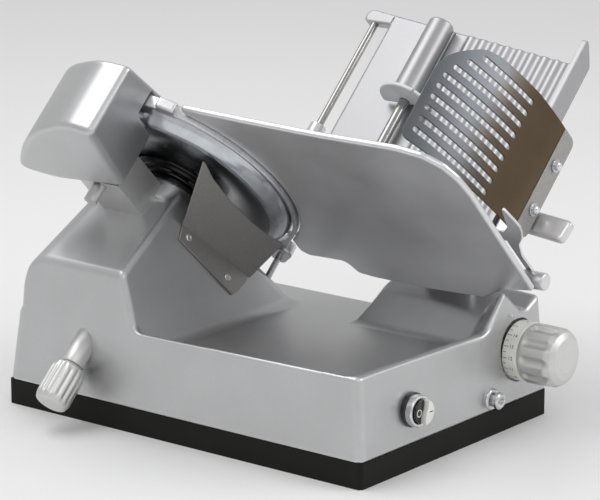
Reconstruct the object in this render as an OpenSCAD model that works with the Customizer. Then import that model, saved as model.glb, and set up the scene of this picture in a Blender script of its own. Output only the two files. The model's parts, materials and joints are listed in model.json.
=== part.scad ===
// Gravity-feed slicer, electric, with slice tray, sliding carriage and
// sharpener. Millimetres, +Z up, -Y is the operator's front, +X the carriage
// side. Origin: centre of the pan underside. The tilted parts are drawn in a
// tilted frame whose coordinates are n (up along the blade plane), y (to the
// rear) and s (down the slope, along the blade axis).

/* [Base] */
// depth of the base, front to rear
base_y = 450; // [420:5:480]
// width of the base, slice side to carriage side
base_x = 309; // [300:1:330]
// height of the sharpener bracket over the tower's top
bracket_h = 47.4; // [42:0.1:52]
// height of the black pan
pan_h = 25.7; // [20:0.1:32]
// wall of the pan
pan_wall = 4; // [3:0.5:6]
// rubber foot radius
foot_r = 15; // [12:0.5:18]
// height of the tray floor over the bench
floor_z = 80; // [76:0.5:84]
// wall of the casting
cast_wall = 4; // [3:0.5:5]
// height of the tray rim over the tray floor at the front corner
rim_h = 12.9; // [8:0.1:16]

/* [Blade] */
// tilt of the table, degrees below level
tilt = 44; // [43:0.5:45]
// blade radius
blade_r = 125; // [120:0.5:126]
// width of the blade's dished rim
blade_rim = 16; // [14:0.5:19]
// thickness of the flat centre
blade_t = 3; // [2:0.1:4]
// height of the blade axis over the tilted frame's origin
axis_n = 161; // [158:0.5:163]
// place of the blade axis along Y
axis_y = 124.5; // [120:0.5:128]
// plane of the cutting edge
edge_s = -166; // [-167:0.1:-165]
// plane of the blade's flat back
flat_s = -145; // [-147:0.1:-143]
// spindle outer radius
spindle_r = 10; // [9:0.1:12]
// radius of the tie rod inside the spindle
rod_r = 5; // [4:0.1:5.5]
// radial gap between the cutting edge and the guard ring
ring_gap = 2.5; // [1.5:0.1:3.5]
// wall of the guard ring
ring_wall = 4; // [3:0.1:4.5]

/* [Gauge plate] */
// thickness of the gauge plate
gauge_t = 6.5; // [5:0.1:7]
// plane of the gauge plate's slice-side face
gauge_s = -160; // [-160:0.1:-159.5]
// widest slice
slice_max = 15; // [10:0.5:15]
// radius of the dial skirt
dial_r = 30; // [26:0.5:31]
// radius of the thickness knob
knob_r = 30.5; // [26:0.5:31]
// length of the thickness knob
knob_len = 42; // [36:1:46]

/* [Carriage] */
// height of the table surface in the tilted frame
table_n = 60; // [58:0.5:62]
// thickness of the table
table_t = 5; // [4:0.5:6]
// height of the ribs
rib_h = 2; // [1:0.1:3]
// number of ribs
rib_n = 9; // [7:1:9]
// thickness of the hand guard sheet
guard_t = 2; // [1.5:0.1:3]
// number of slots in the hand guard
slot_n = 9; // [7:1:9]
// width of a slot
slot_w = 6; // [4:0.5:7]
// rail radius
rail_r = 8; // [7:0.5:9]
// radius of the rear rod
rear_rod_r = 4; // [3.5:0.5:5]
// radius of the pusher rod
pusher_rod_r = 5.5; // [5:0.5:7]

/* [Tie rod knob] */
// radius of the fluted knob
tie_knob_r = 18.3; // [16:0.1:20]
// length of the fluted knob
tie_knob_len = 45; // [40:1:50]
// stem radius
stem_r = 9; // [8:0.1:10]

/* [Fits] */
// radial clearance of a running fit
fit = 0.05; // [0.02:0.01:0.1]
// screw shank radius
screw_r = 2; // [1.5:0.1:2.2]

/* [Hidden] */
$fn = 96;
hx = base_x / 2;
hy = base_y / 2;
beta = 27.9;
ridge_x = -31;
seat_s = -130;
tower_wall = cast_wall + 1.2;
foot_x = hx - 32;
foot_y = hy - 34;
foot_h = 4;
post_r = 7;
post_h = pan_h;
rail_x = 124;
rail_z = 46;
bar_x = 97;
bar_z = 38;
bar_r = 4;
dial_x = 108.5;
dial_z = 76.5;
ct = cos(tilt);
st = sin(tilt);
dial_n = -st * dial_x + ct * dial_z;
dial_s = -ct * dial_x - st * dial_z;
front_y = -221;
skirt_y0 = front_y - 0.6;
skirt_y1 = skirt_y0 - 16;
shaft_r = 5;
cam_r0 = 7;
cam_turn = 336;
pin_r = 3;
cam_gap = 0.45;
guide_n = -22;
guide_y1 = -138;
guide_y2 = -104;
guide_r = 6;
motor_n = 62;
motor_r = 50;
motor_s0 = -124;
motor_s1 = -52;
pulley_s0 = -42;
pulley_s1 = -27;
small_r = 10;
switch_x = -72;
switch_z = 59;
lock_x = 58.6;
lock_z = 37.5;
blade_flat_r = blade_r - blade_rim;
cover_r = blade_flat_r - 5;
flank_y = 27.7 + 0.3031 * pan_h;
ring_r = blade_r + ring_gap + ring_wall;
guard_R = 304;
bend_a = 7.6;
bend_n = 79.6;
flange_y = -223.6;
guard_cy = flange_y + guard_t + guard_R * cos(bend_a);
guard_cn = bend_n - guard_R * sin(bend_a);
bolt_n = 68.5;
tie_a = 203.38;
tie_n = axis_n + (ring_r + 10.9) * cos(tie_a);
tie_y = axis_y + (ring_r + 10.9) * sin(tie_a);
pin_n = 237.5;
// the tower's top plane stands off the tilted frame's axes by these two rates
rate_n = cos(tilt - beta);
rate_s = sin(beta - tilt);
screw_s = -92;
top_w = (pin_n - bracket_h) * rate_n + screw_s * rate_s;
belt_t = 2.6;
belt_clear = 0.7;
large_r = (top_w - tower_wall - belt_clear - pulley_s0 * rate_s) / rate_n - axis_n - belt_t;
cable_r = 3.6;
deck_n = table_n - table_t;
carr_s = gauge_s - gauge_t - 2.5;
fence_y = -190;
rear_n = table_n - 5;
rear_y = 86;
function far_s(y) = -419 - (y - fence_y) * 0.125;
gauge_face = gauge_s - gauge_t;

// the tilted frame: x is n, y is y, z is s
module inc() rotate([0, -(90 + tilt), 0]) children();
module at_blade(s) inc() translate([axis_n, axis_y, s]) children();
// a profile in (x, z), extruded along y from y0 to y1
module prof_y(y0, y1) translate([0, y1, 0]) rotate([90, 0, 0])
  linear_extrude(y1 - y0) children();
// a profile in (y, z), extruded along x from x0 to x1
module prof_x(x0, x1) translate([x0, 0, 0]) rotate([90, 0, 90])
  linear_extrude(x1 - x0) children();
module cyl_y(r, y0, y1) translate([0, y1, 0]) rotate([90, 0, 0])
  cylinder(r = r, h = y1 - y0);
module tube(r1, r2, h) difference() {
  cylinder(r = r1, h = h);
  translate([0, 0, -1]) cylinder(r = r2, h = h + 2);
}
module round_rect(x, y, r) {
  square([2 * x, 2 * y - 2 * r], center = true);
  square([2 * x - 2 * r, 2 * y], center = true);
  for (i = [-1, 1], j = [-1, 1])
    translate([i * (x - r), j * (y - r)]) circle(r = r);
}

// Base pan, feet and screws
module foot_spots() for (i = [-1, 1], j = [-1, 1])
  translate([i * foot_x, j * foot_y, 0]) children();
module post_spots() for (x = [14 - hx, -40, hx - 14], j = [-1, 1])
  translate([x, j * (hy - 14), 0]) children();
module base_pan() color([0.1, 0.1, 0.1]) difference() {
  union() {
    difference() {
      linear_extrude(pan_h) round_rect(hx, hy, 5);
      translate([0, 0, 3]) linear_extrude(pan_h)
        round_rect(hx - pan_wall, hy - pan_wall, 4);
    }
    foot_spots() cylinder(r = foot_r + 3, h = foot_h + 3);
    post_spots() cylinder(r = post_r, h = post_h);
  }
  foot_spots() translate([0, 0, -1]) cylinder(r = foot_r + 0.3, h = foot_h + 1);
  post_spots() {
    translate([0, 0, -1]) cylinder(r = screw_r + 0.2, h = post_h + 2);
    translate([0, 0, -1]) cylinder(r = 4.6, h = 6);
  }
}
module rubber_feet() color([0.08, 0.08, 0.08])
  foot_spots() cylinder(r = foot_r, h = foot_h);
module pan_screws() color([0.6, 0.6, 0.62]) post_spots() {
  translate([0, 0, 2]) cylinder(r = 4, h = 3);
  translate([0, 0, 4.9]) cylinder(r = screw_r - 0.05, h = post_h + 6);
}

// The casting: lower body with rim, console, ramp and motor tower
module lower_xz(o) polygon([[-hx + o, pan_h],
  [-hx + o + 4.7, floor_z + rim_h], [48, floor_z + rim_h - 6.6],
  [hx - o - 3.3, floor_z + rim_h - 6.6], [hx - o, pan_h]]);
module lower_yz(o) polygon([[-hy + o, pan_h], [-hy + o + 6.5, floor_z + rim_h],
  [57, floor_z + 5], [hy - o - 8, floor_z + 5], [hy - o, pan_h]]);
module console() intersection() {
  prof_y(-hy, -182) polygon([[38, pan_h], [40, floor_z + rim_h - 6.5], [87, 140.6],
    [148, 87.3], [hx - 3.4, floor_z], [hx, pan_h]]);
  inc() translate([0, 0, -400]) linear_extrude(700) polygon([[-260, -260],
    [40.8, -260], [40.8, -216], [6, -183], [-260, -183]]);
  prof_x(0, 200) polygon([[-hy, pan_h], [-216.5, 150], [-182, 150], [-182, pan_h]]);
}
module ramp_plan() polygon([[47, -219], [29.5, -46], [33, -28], [42, -20],
  [108, -56], [200, -56], [200, -219]]);
module ramp(o) intersection() {
  linear_extrude(200) ramp_plan();
  translate([47, -212, floor_z - o]) rotate([0, 0, 5.85]) rotate([0, -24.06, 0])
    translate([-50, -200, -300]) cube([400, 500, 300]);
  inc() translate([-300, -300, gauge_s + o]) cube([306 - o, 600, 400]);
  translate([0, -hy + 3, pan_h]) cube([hx - 1.5 - o, hy, 200]);
}
module tower(o) intersection() {
  prof_y(30, hy) polygon([[-hx + o, pan_h], [-hx + o + 8, 158 - o * 0.5],
    [ridge_x - o * 0.2, 225], [(-seat_s - st * (floor_z - 8)) / ct - o * 1.4, floor_z - 8],
    [(-seat_s - st * (floor_z - 8)) / ct - o * 1.4, pan_h]]);
  inc() translate([-400, -100, seat_s + o]) cube([800, 600, 500]);
  prof_x(-200, 200) polygon([[flank_y + o * 1.05, pan_h], [100 + o * 1.05, 238.5],
    [198 - o, 238], [hy - o, pan_h]]);
  rotate([0, -beta, 0]) prof_x(-400, 400) {
    translate([0, -300]) square([176, top_w - o + 300]);
    translate([100, -300]) square([111 - o, top_w - 34 + 300]);
    translate([176, top_w - 34]) circle(r = 34 - o);
  }
}
module body_solid() {
  difference() {
    intersection() {
      prof_y(-hy, hy) lower_xz(0);
      prof_x(-hx, hx) lower_yz(0);
    }
    translate([0, 0, floor_z]) linear_extrude(60) {
      translate([-145.5, -204.5]) square([400, 600]);
      translate([-137.5, -212.5]) square([400, 600]);
      translate([-137.5, -204.5]) circle(r = 8);
    }
  }
  console();
  ramp(0);
  tower(0);
}
module body_hollow() {
  intersection() {
    prof_y(-hy, hy) lower_xz(cast_wall);
    prof_x(-hx, hx) lower_yz(cast_wall);
    translate([-200, -300, pan_h - 1]) cube([400, 600, floor_z - cast_wall - pan_h + 1]);
  }
  intersection() {
    ramp(cast_wall + 0.7);
    translate([-200, -207, 50]) cube([400, 147, 200]);
  }
  intersection() {
    tower(tower_wall);
    translate([-200, -200, 61]) cube([400, 500, 300]);
  }
}
module bosses() {
  // wall round the spindle
  at_blade(seat_s) cylinder(r = 24, h = 34);
  inc() translate([tie_n, tie_y, seat_s + 1]) cylinder(r = 6, h = 30);
  // gauge guides
  inc() translate([guide_n - 10, guide_y1 - 10, gauge_s + 1])
    cube([20, guide_y2 - guide_y1 + 20, 20]);
  // dial spindle
  translate([dial_x, 0, dial_z]) cyl_y(14, front_y + 4, -200);
  // rail and bar seats
  translate([rail_x, 0, rail_z]) {
    cyl_y(rail_r + 4, -hy + 5, -hy + 20);
    cyl_y(rail_r + 4, hy - 20, hy - 6);
  }
  translate([bar_x, 0, bar_z]) {
    cyl_y(bar_r + 4, -hy + 5, -hy + 20);
    cyl_y(bar_r + 4, hy - 20, hy - 6);
  }
  // pan screws
  post_spots() translate([0, 0, pan_h]) cylinder(r = post_r, h = 20);
  for (x = [14 - hx, -40, hx - 14]) {
    translate([x - 3, 14 - hy - 8.2, pan_h]) cube([6, 6, 20]);
    translate([x - 3, hy - 14 + 2.4, pan_h]) cube([6, 5.8, 20]);
  }
}
module main_housing() color([0.68, 0.69, 0.7]) difference() {
  union() {
    difference() {
      body_solid();
      body_hollow();
    }
    bosses();
  // round lip under the hub
    at_blade(seat_s - 1.5) cylinder(r = 32, h = 6);
  }
  // spindle bore and bearing seats
  at_blade(seat_s - 40) cylinder(r = 20, h = 74);
  // tie rod hole with its sleeve
  at_blade(30) cylinder(r = 12, h = 60);
  // room for the cam's turn
  translate([dial_x, 0, dial_z]) cyl_y(cam_r0 + slice_max + 0.7, -180.4, -166.6);
  // guard ring rod hole
  inc() translate([tie_n, tie_y, -150]) cylinder(r = 3.5, h = 46);
  // gauge guides
  for (y = [guide_y1, guide_y2]) inc() translate([guide_n, y, -200])
    cylinder(r = guide_r + 3, h = 100);
  // rail and bar seats
  translate([rail_x, 0, rail_z]) cyl_y(rail_r, -hy + 8, hy - 8);
  translate([bar_x, 0, bar_z]) cyl_y(bar_r, -hy + 8, hy - 8);
  // arm slot in the carriage-side wall
  translate([hx - 14, -170, 38]) cube([20, 390 - 12, 20]);
  // dial recess and spindle hole
  translate([dial_x, 0, dial_z]) {
    cyl_y(dial_r + 1.5, -hy - 20, front_y + 3);
    cyl_y(shaft_r + 3, -hy - 20, -100);
  }
  // switch and lock seats
  translate([switch_x, 0, switch_z]) cyl_y(13, -hy - 10, -180);
  translate([lock_x, 0, lock_z]) cyl_y(8, -hy - 10, -180);
  // gland
  translate([-60, 0, 50]) cyl_y(7, 180, hy + 5);
  // pan screws
  post_spots() translate([0, 0, pan_h - 1]) cylinder(r = screw_r, h = 13);
  // deflector screws
  deflector_frame() for (p = defl_holes) translate([p[0], p[1], -12])
    cylinder(r = screw_r, h = 13);
  // motor screws
  motor_spots() translate([0, 0, seat_s - 3]) cylinder(r = screw_r + 0.2, h = 20);
  // bracket screws
  inc() for (y = [122, 156]) translate([saddle_n(screw_s) - 12, y, screw_s]) rotate([0, 90, 0])
    cylinder(r = screw_r + 0.2, h = 30);
}

// Drive
module motor_spots() inc() for (a = [45, 225])
  translate([motor_n + 40 * cos(a), axis_y + 40 * sin(a), 0]) children();
module motor() color([0.25, 0.27, 0.3]) {
  inc() translate([motor_n, axis_y, 0]) difference() {
    union() {
      translate([0, 0, seat_s + tower_wall]) cylinder(r = motor_r, h = motor_s1 - seat_s - tower_wall);
      for (s = [motor_s0 + 14 : 8 : motor_s1 - 8]) translate([0, 0, s])
        cylinder(r = motor_r + 2, h = 2.5);
      translate([0, 0, motor_s1 - 1]) cylinder(r = 15, h = 5);
    }
    translate([0, 0, motor_s1 - 30]) cylinder(r = 5 + fit, h = 40);
    for (a = [45, 225]) rotate(a) translate([40, 0, seat_s]) cylinder(r = screw_r, h = 16);
  }
}
module casting_screws() color([0.6, 0.6, 0.62]) {
  motor_spots() {
    translate([0, 0, seat_s - 1]) cylinder(r = screw_r - 0.05, h = 14);
    translate([0, 0, seat_s - 2.8]) cylinder(r = 4, h = 2.8);
  }
  bracket_screws();
}
module motor_shaft() color([0.5, 0.5, 0.52]) inc() translate([motor_n, axis_y, 0]) {
  translate([0, 0, motor_s1 - 28]) cylinder(r = 5, h = pulley_s1 - motor_s1 + 28);
  translate([0, 0, pulley_s0]) cylinder(r = small_r, h = pulley_s1 - pulley_s0);
  translate([0, 0, pulley_s0 - 1.5]) cylinder(r = small_r + 3, h = 1.6);
  translate([0, 0, pulley_s1 - 0.1]) cylinder(r = small_r + 3, h = 1.6);
}
module belt_shape(d) {
  span = axis_n - motor_n;
  a = asin((large_r - small_r) / span);
  rs = small_r + d;
  rl = large_r + d;
  polygon([for (i = [0 : 24]) let (t = 90 + a + i * (180 - 2 * a) / 24) [rs * cos(t), rs * sin(t)],
    for (i = [0 : 40]) let (t = -90 - a + i * (180 + 2 * a) / 40) [span + rl * cos(t), rl * sin(t)]]);
}
module drive_belt() color([0.09, 0.09, 0.09])
  inc() translate([motor_n, axis_y, pulley_s0 + 1.5])
  linear_extrude(pulley_s1 - pulley_s0 - 3) difference() {
    belt_shape(belt_t);
    belt_shape(0.3);
  }
module blade_pulley() color([0.6, 0.62, 0.63]) at_blade(0) {
  translate([0, 0, pulley_s0]) tube(large_r, spindle_r, pulley_s1 - pulley_s0);
}

// Blade, spindle and hub
module blade_spindle() color([0.62, 0.63, 0.65]) at_blade(0) difference() {
  union() {
    translate([0, 0, flat_s - 5]) cylinder(r = spindle_r, h = -24 - flat_s + 5);
    translate([0, 0, seat_s - 5]) cylinder(r = spindle_r + 2, h = 3);
  }
  translate([0, 0, flat_s - 20]) cylinder(r = rod_r + 1, h = 200);
}
module spindle_bearings() color([0.66, 0.67, 0.69]) at_blade(0)
  for (s = [seat_s + 4, seat_s + 20]) translate([0, 0, s]) tube(20, spindle_r + fit, 10);
module hub_collar() color([0.05, 0.05, 0.06]) at_blade(0) difference() {
  union() {
    translate([0, 0, seat_s - 4.5]) cylinder(r = 30, h = 3);
    translate([0, 0, seat_s - 8]) cylinder(r = 27, h = 4);
    translate([0, 0, seat_s - 10.5]) cylinder(r = 34, h = 3);
  }
  translate([0, 0, seat_s - 20]) cylinder(r = spindle_r + 2.5, h = 40);
}
module blade_flange() color([0.05, 0.05, 0.06]) at_blade(0) difference() {
  union() {
    translate([0, 0, flat_s]) cylinder(r = 48, h = 2.2);
    translate([0, 0, flat_s]) cylinder(r = 40, h = 3.8);
  }
  translate([0, 0, flat_s - 10]) cylinder(r = spindle_r, h = 40);
  for (a = [90, 210, 330]) rotate(a) translate([28, 0, flat_s - 1])
    cylinder(r = screw_r + 0.5, h = 10);
}
module blade() color([0.72, 0.73, 0.75]) at_blade(0) difference() {
  rotate_extrude() polygon(concat([[spindle_r, flat_s], [spindle_r, flat_s - blade_t],
    [blade_flat_r - 3, flat_s - blade_t]],
    [for (p = [[0.72, 0.36], [0.32, 0.64]]) [blade_r - p[0] * blade_rim, flat_s + p[1] * (edge_s - flat_s)]],
    [[blade_r - 0.6, edge_s], [blade_r, edge_s]],
    [for (p = [[0.025, 0.14], [0.125, 0.4], [0.31, 0.64], [0.56, 0.83], [0.8, 0.96]])
      [blade_r - p[0] * blade_rim, edge_s + p[1] * (flat_s - edge_s)]],
    [[blade_flat_r, flat_s]]));
  for (a = [90, 210, 330]) rotate(a) translate([28, 0, flat_s - 10])
    cylinder(r = screw_r + 0.5, h = 20);
}
module blade_screws() color([0.6, 0.6, 0.62]) at_blade(0)
  for (a = [90, 210, 330]) rotate(a) translate([28, 0, 0]) {
    translate([0, 0, flat_s - blade_t - 2.6]) cylinder(r = 4.5, h = 2.6);
    translate([0, 0, flat_s - blade_t - 0.1]) cylinder(r = screw_r + 0.4, h = blade_t + 3.6);
  }
module blade_cover() color([0.7, 0.71, 0.72]) at_blade(0) difference() {
  rotate_extrude() polygon([[0, edge_s + 1], [cover_r - 6, edge_s + 1], [cover_r, edge_s + 3],
    [cover_r, edge_s + 4.5], [cover_r - 7, edge_s + 4.5], [cover_r - 12, edge_s + 4], [20, edge_s + 4],
    [20, edge_s + 11], [0, edge_s + 11]]);
  translate([0, 0, edge_s + 2.8]) cylinder(r = rod_r + 3 * fit, h = 20);
}
module cover_tie_rod() color([0.7, 0.71, 0.73]) at_blade(0) {
  translate([0, 0, edge_s + 3]) cylinder(r = rod_r, h = 200);
  translate([0, 0, 30]) cylinder(r = stem_r, h = 50);
}
module tie_rod_sleeve() color([0.66, 0.67, 0.69]) at_blade(0)
  translate([0, 0, 38]) tube(12, stem_r + fit, 41);
module tie_rod_knob() color([0.68, 0.69, 0.7]) at_blade(80) difference() {
  rotate_extrude() polygon([[0, 0], [stem_r + 4, 0], [tie_knob_r - 1.8, 3],
    [tie_knob_r - 0.4, 9], [tie_knob_r, tie_knob_len / 2], [tie_knob_r - 0.4, tie_knob_len - 6],
    [tie_knob_r - 2.2, tie_knob_len - 1], [tie_knob_r - 4, tie_knob_len], [0, tie_knob_len]]);
  for (i = [0 : 14]) rotate(i * 24) translate([tie_knob_r + 1.6, 0, 4])
    cylinder(r = 3, h = tie_knob_len - 9, $fn = 24);
}

// Guard ring with its boss and tie rod
module blade_guard_ring() color([0.69, 0.7, 0.71]) inc() difference() {
  union() {
    translate([axis_n, axis_y, -168]) cylinder(r = ring_r, h = 13);
    // boss of the ring's tie rod
    translate([tie_n, tie_y, -166]) cylinder(r = 9, h = 14);
    translate([axis_n, axis_y, -166]) rotate(tie_a) {
      translate([ring_r + 5.6, 19.3, 0]) cylinder(r = 9, h = 14);
      translate([ring_r - 9, -2, 0]) cube([17, 22, 13]);
    }
    // tab at the top
    translate([axis_n, axis_y, -166]) rotate(-23) translate([ring_r - 14, -11, 0])
      cube([22, 20, 12]);
  }
  translate([axis_n, axis_y, -200]) cylinder(r = ring_r - ring_wall, h = 100);
  translate([tie_n, tie_y, -161]) cylinder(r = 3.5, h = 20);
}
module guard_ring_rod() color([0.6, 0.61, 0.63])
  inc() translate([tie_n, tie_y, -161]) cylinder(r = 3.5, h = 161 - 104);

// Deflector plate: a flange on the tower's front flank, and a wing to the blade
defl_holes = [[0.8, 14.4], [50.7, 57.2]];
module deflector_frame() translate([-56.5, 80.2, 174]) rotate([0, 73.14, -90]) children();
module deflector_plate() color([0.55, 0.54, 0.53]) difference() {
  union() {
    deflector_frame() linear_extrude(2) polygon([[0, 0], [69.3, 58.5], [67.9, 67],
      [57.4, 91.8], [-14.4, 10.5]]);
    translate([-46, 84.5, 187.8]) rotate([0, 118.72, -131.06]) linear_extrude(2)
      polygon([[0, 0], [-14.7, 3.6], [-84.8, 16], [-79.3, 19.4], [-60.3, 27.7],
        [-29.7, 47.1], [-1.2, 69.7], [20.6, 89.9], [32.7, 106.4], [78.4, 74.9]]);
  }
  deflector_frame() for (p = defl_holes) translate([p[0], p[1], -1]) {
    cylinder(r = screw_r + 0.3, h = 9);
    translate([0, 0, 1.8]) cylinder(r = 4, h = 4);
  }
}
module deflector_screws() color([0.6, 0.6, 0.62]) deflector_frame()
  for (p = defl_holes) translate([p[0], p[1], 0]) {
    translate([0, 0, 0.8]) cylinder(r = 3.8, h = 1.2);
    translate([0, 0, -10]) cylinder(r = screw_r - 0.05, h = 11);
  }

// Gauge plate with its carrier and the index drive
gauge_pts = [[283, 54.7], [278, -31], [274, -114], [275, -203], [270, -230], [258, -247],
  [239, -255], [215, -260], [51, -256], [43.5, -220], [18, -183], [13, -113], [14, -46],
  [17, -26], [36, -18], [34, 29], [40, 38], [90, 38], [90, 54.7]];
module gauge_plate() color([0.67, 0.68, 0.69]) inc() difference() {
  translate([0, 0, gauge_face]) linear_extrude(gauge_t) polygon(gauge_pts);
  translate([axis_n, axis_y, -200]) cylinder(r = ring_r + 1.5, h = 80);
  for (n = [24, 36], y = [-140, -102]) translate([n, y, gauge_face - 1])
    cylinder(r = screw_r, h = 5);
}
module gauge_carrier() color([0.62, 0.63, 0.65]) {
  inc() difference() {
    union() {
      translate([guide_n - 12, guide_y1 - 10, gauge_face - 15])
        cube([42 - guide_n + 12, guide_y2 - guide_y1 + 20, 6]);
      for (y = [-146, -108]) translate([18, y, gauge_face - 10]) cube([24, 12, 10]);
      for (y = [guide_y1, guide_y2]) translate([guide_n, y, gauge_face - 10])
        cylinder(r = guide_r, h = -95 - gauge_face + 10);
      // cross bar with the follower pin
      translate([guide_n - 8, -160, -98]) cube([16, 160 - 96, 8]);
    }
    for (n = [24, 36], y = [-140, -102]) translate([n, y, gauge_face - 20])
      cylinder(r = screw_r + 0.2, h = 40);
  }
  inc() translate([dial_n - 4, -165.5, dial_s + cam_r0 - 0.5])
    cube([8, 8, -90 - dial_s - cam_r0 + 0.5]);
  inc() translate([dial_n, 0, dial_s + cam_r0 + cam_gap + pin_r]) cyl_y(pin_r, -178, -160);
}
module gauge_screws() color([0.6, 0.6, 0.62]) inc()
  for (n = [24, 36], y = [-140, -102]) translate([n, y, 0]) {
    translate([0, 0, gauge_face - 17]) cylinder(r = 3.6, h = 2);
    translate([0, 0, gauge_face - 15.1]) cylinder(r = screw_r - 0.05, h = 18);
  }
module gauge_bushes() color([0.75, 0.6, 0.3]) inc()
  for (y = [guide_y1, guide_y2]) translate([guide_n, y, gauge_s + 0.5])
    tube(guide_r + 3, guide_r + fit, 18);
// spiral cam: radius grows over cam_turn degrees by the widest slice
function cam_pt(d) = let (r = cam_r0 + slice_max * max(0, min(d, cam_turn)) / cam_turn)
  [r * cos(90 - d), r * sin(90 - d)];
module index_spindle() color([0.62, 0.63, 0.65]) {
  translate([dial_x, 0, dial_z]) {
    cyl_y(shaft_r, -236, -161);
    cyl_y(10, -199, -179);
  }
  inc() translate([dial_n, 0, dial_s]) prof_y(-179, -168)
    polygon([for (d = [-16 : 8 : cam_turn]) cam_pt(d)]);
}
module dial_bush() color([0.75, 0.6, 0.3]) translate([dial_x, 0, dial_z]) difference() {
  cyl_y(shaft_r + 3, front_y + 3.2, -200);
  cyl_y(shaft_r + fit, -260, -100);
}
module thickness_dial() color([0.9, 0.9, 0.88]) translate([dial_x, 0, dial_z]) difference() {
  cyl_y(dial_r, skirt_y1, skirt_y0);
  cyl_y(shaft_r, -260, -100);
  for (i = [0 : 14]) rotate([0, -i * cam_turn / 15, 0]) translate([0, -232, dial_r])
    cube([0.7, 7, 0.8], center = true);
}
module thickness_knob() color([0.66, 0.67, 0.68]) translate([dial_x, 0, dial_z]) difference() {
  translate([0, skirt_y1, 0]) rotate([90, 0, 0]) rotate_extrude() polygon([[0, 0],
    [knob_r - 3, 0], [knob_r, 4], [knob_r, knob_len * 0.45], [knob_r - 1, knob_len - 12],
    [knob_r - 4, knob_len - 5], [knob_r - 9, knob_len - 2], [knob_r - 16, knob_len], [0, knob_len]]);
  for (i = [0 : 9]) rotate([0, i * 36 + 18, 0]) translate([0, skirt_y1 - 6, knob_r + 3])
    rotate([90, 0, 0]) cylinder(r = 5, h = knob_len - 14, $fn = 32);
  cyl_y(shaft_r, -235.9, -100);
}

// Switch with two push halves, and the lock button
module switch_frame() color([0.1, 0.1, 0.1]) translate([switch_x, 0, switch_z]) difference() {
  union() {
    cyl_y(17, -hy - 8, -hy + 1.55);
    cyl_y(12.8, -hy, -190);
  }
  cyl_y(12.2, -hy - 30, -200);
}
module half_cap(sx) intersection() {
  cyl_y(11.9, -hy - 16, -204);
  translate([sx > 0 ? 0.25 : -30, -hy - 40, -20]) cube([29.75, 80, 40]);
}
module switch_off() color([0.06, 0.06, 0.06]) translate([switch_x, 0, switch_z]) half_cap(-1);
module switch_on() color([0.92, 0.92, 0.9]) translate([switch_x, 0, switch_z]) half_cap(1);
module lock_sleeve() color([0.75, 0.76, 0.78]) translate([lock_x, 0, lock_z]) difference() {
  union() {
    cyl_y(11, -hy - 1.6, -hy + 0.04);
    cyl_y(7.8, -hy, -190);
  }
  cyl_y(6, -hy - 20, -196);
}
module lock_button() color([0.75, 0.76, 0.78]) translate([lock_x, 0, lock_z]) difference() {
  union() {
    cyl_y(5.9, -hy - 6, -202);
    cyl_y(8.5, -hy - 11, -hy - 6);
  }
  translate([-6, -hy - 12, -1]) cube([12, 2, 2]);
}

// Carriage guide in the base
module carriage_rail() color([0.75, 0.76, 0.78])
  translate([rail_x, 0, rail_z]) cyl_y(rail_r, -hy + 9, hy - 9);
module rail_guide_bar() color([0.75, 0.76, 0.78])
  translate([bar_x, 0, bar_z]) cyl_y(bar_r, -hy + 9, hy - 9);
module carriage_trolley() color([0.5, 0.52, 0.54]) difference() {
  union() {
    translate([rail_x - 14, -122, rail_z - 14]) cube([29, 54, 28]);
    translate([bar_x - 7, -110, bar_z - 7]) cube([20, 30, 14]);
  }
  translate([rail_x, 0, rail_z]) cyl_y(rail_r + 3, -200, 0);
  translate([bar_x, 0, bar_z]) cyl_y(bar_r + fit, -200, 0);
}
module trolley_bushes() color([0.75, 0.6, 0.3]) translate([rail_x, 0, rail_z])
  for (y = [-122, -84]) difference() {
    cyl_y(rail_r + 3, y, y + 16);
    cyl_y(rail_r + fit, y - 1, y + 17);
  }
module carriage_arm() color([0.62, 0.63, 0.65]) {
  prof_y(-117, -73) polygon([[rail_x + 15, 41], [188, 41],
    [188, (deck_n - 3 + st * 188) / ct], [174, (deck_n - 3 + st * 174) / ct],
    [174, 55], [rail_x + 15, 55]]);
  inc() difference() {
    translate([deck_n - 7, -128, -336]) cube([7, 66, 80]);
    for (y = [-121, -69], s = [-328, -264]) translate([deck_n - 10, y, s])
      rotate([0, 90, 0]) cylinder(r = screw_r, h = 30);
  }
}

// Carriage table, fence, rods and pusher
lug_pts = [[63, -439], [99, -439], [99, far_s(99) + 4], [95, far_s(95)], [63, far_s(63)]];
table_pts = [[fence_y, carr_s], [63, carr_s], [63, far_s(63)], [fence_y, far_s(fence_y)]];
module carriage_table() color([0.7, 0.71, 0.72]) {
  inc() difference() {
    union() {
      translate([deck_n, 0, 0]) rotate([0, 90, 0]) rotate([0, 0, 0])
        linear_extrude(table_t) polygon([for (p = table_pts) [-p[1], p[0]]]);
      // ribs
      for (y = [fence_y + 14 : 16.4 : fence_y + 13 + 16.4 * (rib_n - 1) + 2])
        translate([table_n - 0.5, y - 3, far_s(y - 3) + 1])
          cube([rib_h + 0.5, 6, carr_s - far_s(y - 3) - 1]);
      // half-round ridge
      intersection() {
        translate([table_n + 10, -9, -441]) cylinder(r = 14, h = 97);
        translate([table_n - 1, -60, -500]) cube([60, 120, 200]);
      }
      // lug of the rear rod
      translate([table_n - 12, 0, 0]) rotate([0, 90, 0]) linear_extrude(12)
        polygon([for (p = lug_pts) [-p[1], p[0]]]);
    }
    translate([rear_n, rear_y, -450]) cylinder(r = rear_rod_r, h = 60);
    translate([table_n + 10, -14, -448 + 20]) cylinder(r = pusher_rod_r, h = 200);
  }
}
module carriage_fence() color([0.7, 0.71, 0.72]) inc() {
  translate([0, fence_y, 0]) rotate([90, 0, 0]) linear_extrude(6)
    polygon([[deck_n, carr_s], [deck_n + 26, carr_s], [deck_n + 26, -441], [deck_n + 17, -436],
      [deck_n, -422]]);
}
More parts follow.
